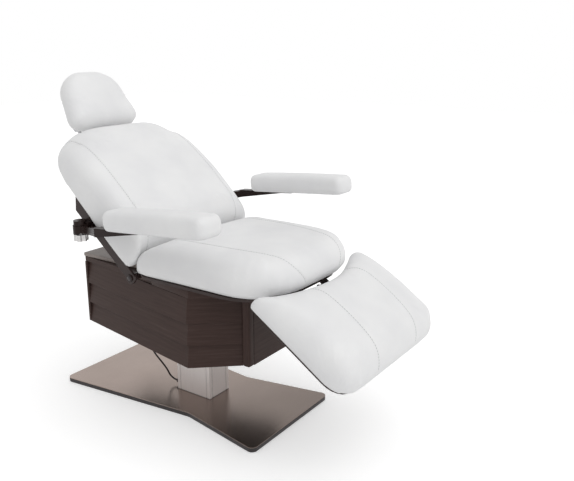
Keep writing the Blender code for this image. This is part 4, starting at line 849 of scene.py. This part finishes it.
# Foot pad
# A long foam pad with a hollowed top end that clears the seat, stapled to the foot board.
# Two seams run down and over the foot end.
foot_place = Matrix.Translation((0, -0.495, 0.520)) @ Matrix.Rotation(math.radians(33.9), 4, "X")
FOOT_TOP = -0.0013
FOOT_UNDER = 0.0358
FOOT_BASE = FOOT_UNDER + 0.0103
FOOT_SEAM = 0.13
foot_pad = upholster("foot_upholstery", foam(
    half=0.314, front=FOOT_TOP - 0.400, rear=FOOT_TOP + 0.014, base=FOOT_BASE, thick=0.097, crown=0.024,
    draw_in=0.003, corners=(0.085, 0.03), top_roll=(0.065, 0.085, 0.14, 0.075, 0.075, 0.066),
    base_roll=(0.005, 0.02, 0.005, 0.006, 0.015, 0.006), hollow=0.081, droop=0.018), FOOT_BASE, cap=0.010)
foot_guides = both_sides([(FOOT_SEAM, FOOT_TOP - down, FOOT_UNDER + out) for down, out in (
    (0.056, 0.082), (0.08, 0.10), (0.134, 0.1265), (0.219, 0.133), (0.304, 0.13), (0.337, 0.125),
    (0.381, 0.089), (0.392, 0.06))])
settle([foot_pad, sew(foot_pad, "foot_stitching", foot_guides)], foot_place, "foot", "foot_cushion")

# Arm pads
# Slim foam pads on narrow boards, the same on both sides; the cover wraps the board's edge.
ARM_UNDER = -0.028
ARM_WRAP = 0.007
ARM_FULL = 0.004
arm_pad = upholster("arm_upholstery_right", foam(
    half=0.054, front=-0.438, rear=-0.010, base=ARM_UNDER - ARM_WRAP, thick=0.056 + ARM_WRAP + ARM_FULL,
    crown=0.004, draw_in=0.001, corners=(0.03, 0.022), top_roll=(0.02, 0.024, 0.018, 0.022, 0.024, 0.02),
    base_roll=(0.012, 0.016, 0.012, 0.02, 0.018, 0.02)), ARM_UNDER, cap=0.006)
other_pad = placed("arm_upholstery_left", arm_pad.data.copy(), leatherette)
arm_tilt = Matrix.Rotation(math.radians(-4.6), 4, "X")
for piece, side, hand in ((arm_pad, -1, "right"), (other_pad, 1, "left")):
    arm_place = Matrix.Translation((side * 0.385, -0.020, 0.780)) @ arm_tilt
    settle([piece], arm_place, f"arm_{hand}", f"arm_pad_{hand}")

# Screws and bolts
# Low domed heads of black steel that hold the back and foot boards to their frames and the back to its shaft.
def screw_tree():
    """Domed heads set on points, all turned along one axis."""
    tree = bpy.data.node_groups.new("screw_heads", "GeometryNodeTree")
    tree.interface.new_socket("Geometry", in_out="INPUT", socket_type="NodeSocketGeometry")
    tree.interface.new_socket("Radius", in_out="INPUT", socket_type="NodeSocketFloat")
    tree.interface.new_socket("Axis", in_out="INPUT", socket_type="NodeSocketVector")
    tree.interface.new_socket("Finish", in_out="INPUT", socket_type="NodeSocketMaterial")
    tree.interface.new_socket("Geometry", in_out="OUTPUT", socket_type="NodeSocketGeometry")
    given = add(tree, "NodeGroupInput").outputs
    turn = add(tree, "FunctionNodeAlignRotationToVector", {"Vector": given["Axis"]}, axis="Z").outputs[0]
    dome = add(tree, "GeometryNodeMeshUVSphere", {"Segments": 20, "Rings": 10, "Radius": 1.0}).outputs["Mesh"]
    low = add(tree, "GeometryNodeTransform", {"Geometry": dome, "Scale": (1.0, 1.0, 0.45)}).outputs[0]
    heads = add(tree, "GeometryNodeInstanceOnPoints",
                {"Points": given["Geometry"], "Instance": low, "Rotation": turn,
                 "Scale": given["Radius"]}).outputs[0]
    real = add(tree, "GeometryNodeRealizeInstances", {"Geometry": heads}).outputs[0]
    done = add(tree, "GeometryNodeSetMaterial", {"Geometry": real, "Material": given["Finish"]}).outputs[0]
    add(tree, "NodeGroupOutput", {0: done})
    return tree


def underside(node, place):
    """The level of a board's underside in its own frame."""
    back = place.inverted()
    return min((back @ vert.co).z for vert in frame["nodes"][node].data.vertices)


screw_heads = screw_tree()
shaft_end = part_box("back_shaft")[1].x
SCREW_RADIUS = 0.006
PIVOT_RADIUS = 0.009
back_low, foot_low = underside("back_board", back_place), underside("foot_board", foot_place)
pivot_spots = [(side * shaft_end, BACK_PIVOT.y, BACK_PIVOT.z) for side in (-1, 1)]
back_spots = [(x, y, back_low) for x in (-0.2, 0.2) for y in (0.12, 0.28, 0.42)]
foot_spots = [(x, y, foot_low) for x in (-0.22, 0.22) for y in (-0.10, -0.22, -0.34)]
screw_sets = [
    ("back_pivot_bolts", "back", pivot_spots, Matrix(), (1, 0, 0), PIVOT_RADIUS),
    ("back_board_screws", "back", back_spots, back_place, (0, 0, 1), SCREW_RADIUS),
    ("foot_board_screws", "foot", foot_spots, foot_place, (0, 0, 1), SCREW_RADIUS)]
for name, body, points, place, axis, radius in screw_sets:
    mesh = bpy.data.meshes.new(name)
    mesh.from_pydata([place @ Vector(point) for point in points], [], [])
    heads = repeated(placed(name, mesh, black_paint, smooth=False), screw_heads, {
        "Radius": radius, "Axis": place.to_3x3() @ Vector(axis), "Finish": black_paint})
    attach(heads, body)

# Studio
# A pale floor and soft light from above, as in a catalogue cut-out. The floor fades to white for the camera.
def seen_ray(tree):
    """1 for what the camera sees, directly, mirrored or through glass."""
    rays = add(tree, "ShaderNodeLightPath").outputs
    seen = add(tree, "ShaderNodeMath", {0: rays["Is Camera Ray"], 1: rays["Is Glossy Ray"]},
               operation="MAXIMUM")
    return add(tree, "ShaderNodeMath", {0: seen.outputs[0], 1: rays["Is Transmission Ray"]},
               operation="MAXIMUM").outputs[0]


floor_mesh = bpy.data.meshes.new("studio_floor")
FLOOR_HALF = 12.0
FLOOR_LEVEL = -0.0005
floor_signs = ((-1, -1), (1, -1), (1, 1), (-1, 1))
floor_corners = [(FLOOR_HALF * x, FLOOR_HALF * y, FLOOR_LEVEL) for x, y in floor_signs]
floor_mesh.from_pydata(floor_corners, [], [(0, 1, 2, 3)])
floor_paint, tree, shader, place = new_material("studio_white", 0.9)
shader.inputs["Base Color"].default_value = colour("f4f4f4")
shader.inputs["Specular IOR Level"].default_value = 0.0
shader.inputs["Emission Color"].default_value = colour("ffffff")
tree.links.new(between(tree, seen_ray(tree), 0.0, 0.36), shader.inputs["Emission Strength"])
placed("studio_floor", floor_mesh, floor_paint, smooth=False)

world = bpy.data.worlds.new("studio")
scene.world = world
world.use_nodes = True
tree = world.node_tree
strength = between(tree, seen_ray(tree), 0.62, 1.0)
background = tree.nodes["Background"]
background.inputs["Color"].default_value = colour("ffffff")
tree.links.new(strength, background.inputs["Strength"])

SOFT_SPREAD = math.radians(70)
for name, energy, aim in (("overhead_softlight", 0.45, (-0.2, 0.3, -1.0)),
                          ("front_softlight", 0.7, (0.2, 0.75, -0.65))):
    light = bpy.data.lights.new(name, "SUN")
    light.energy = energy
    light.angle = SOFT_SPREAD
    lamp = bpy.data.objects.new(name, light)
    lamp.rotation_euler = Vector(aim).to_track_quat("-Z", "Y").to_euler()
    scene.collection.objects.link(lamp)
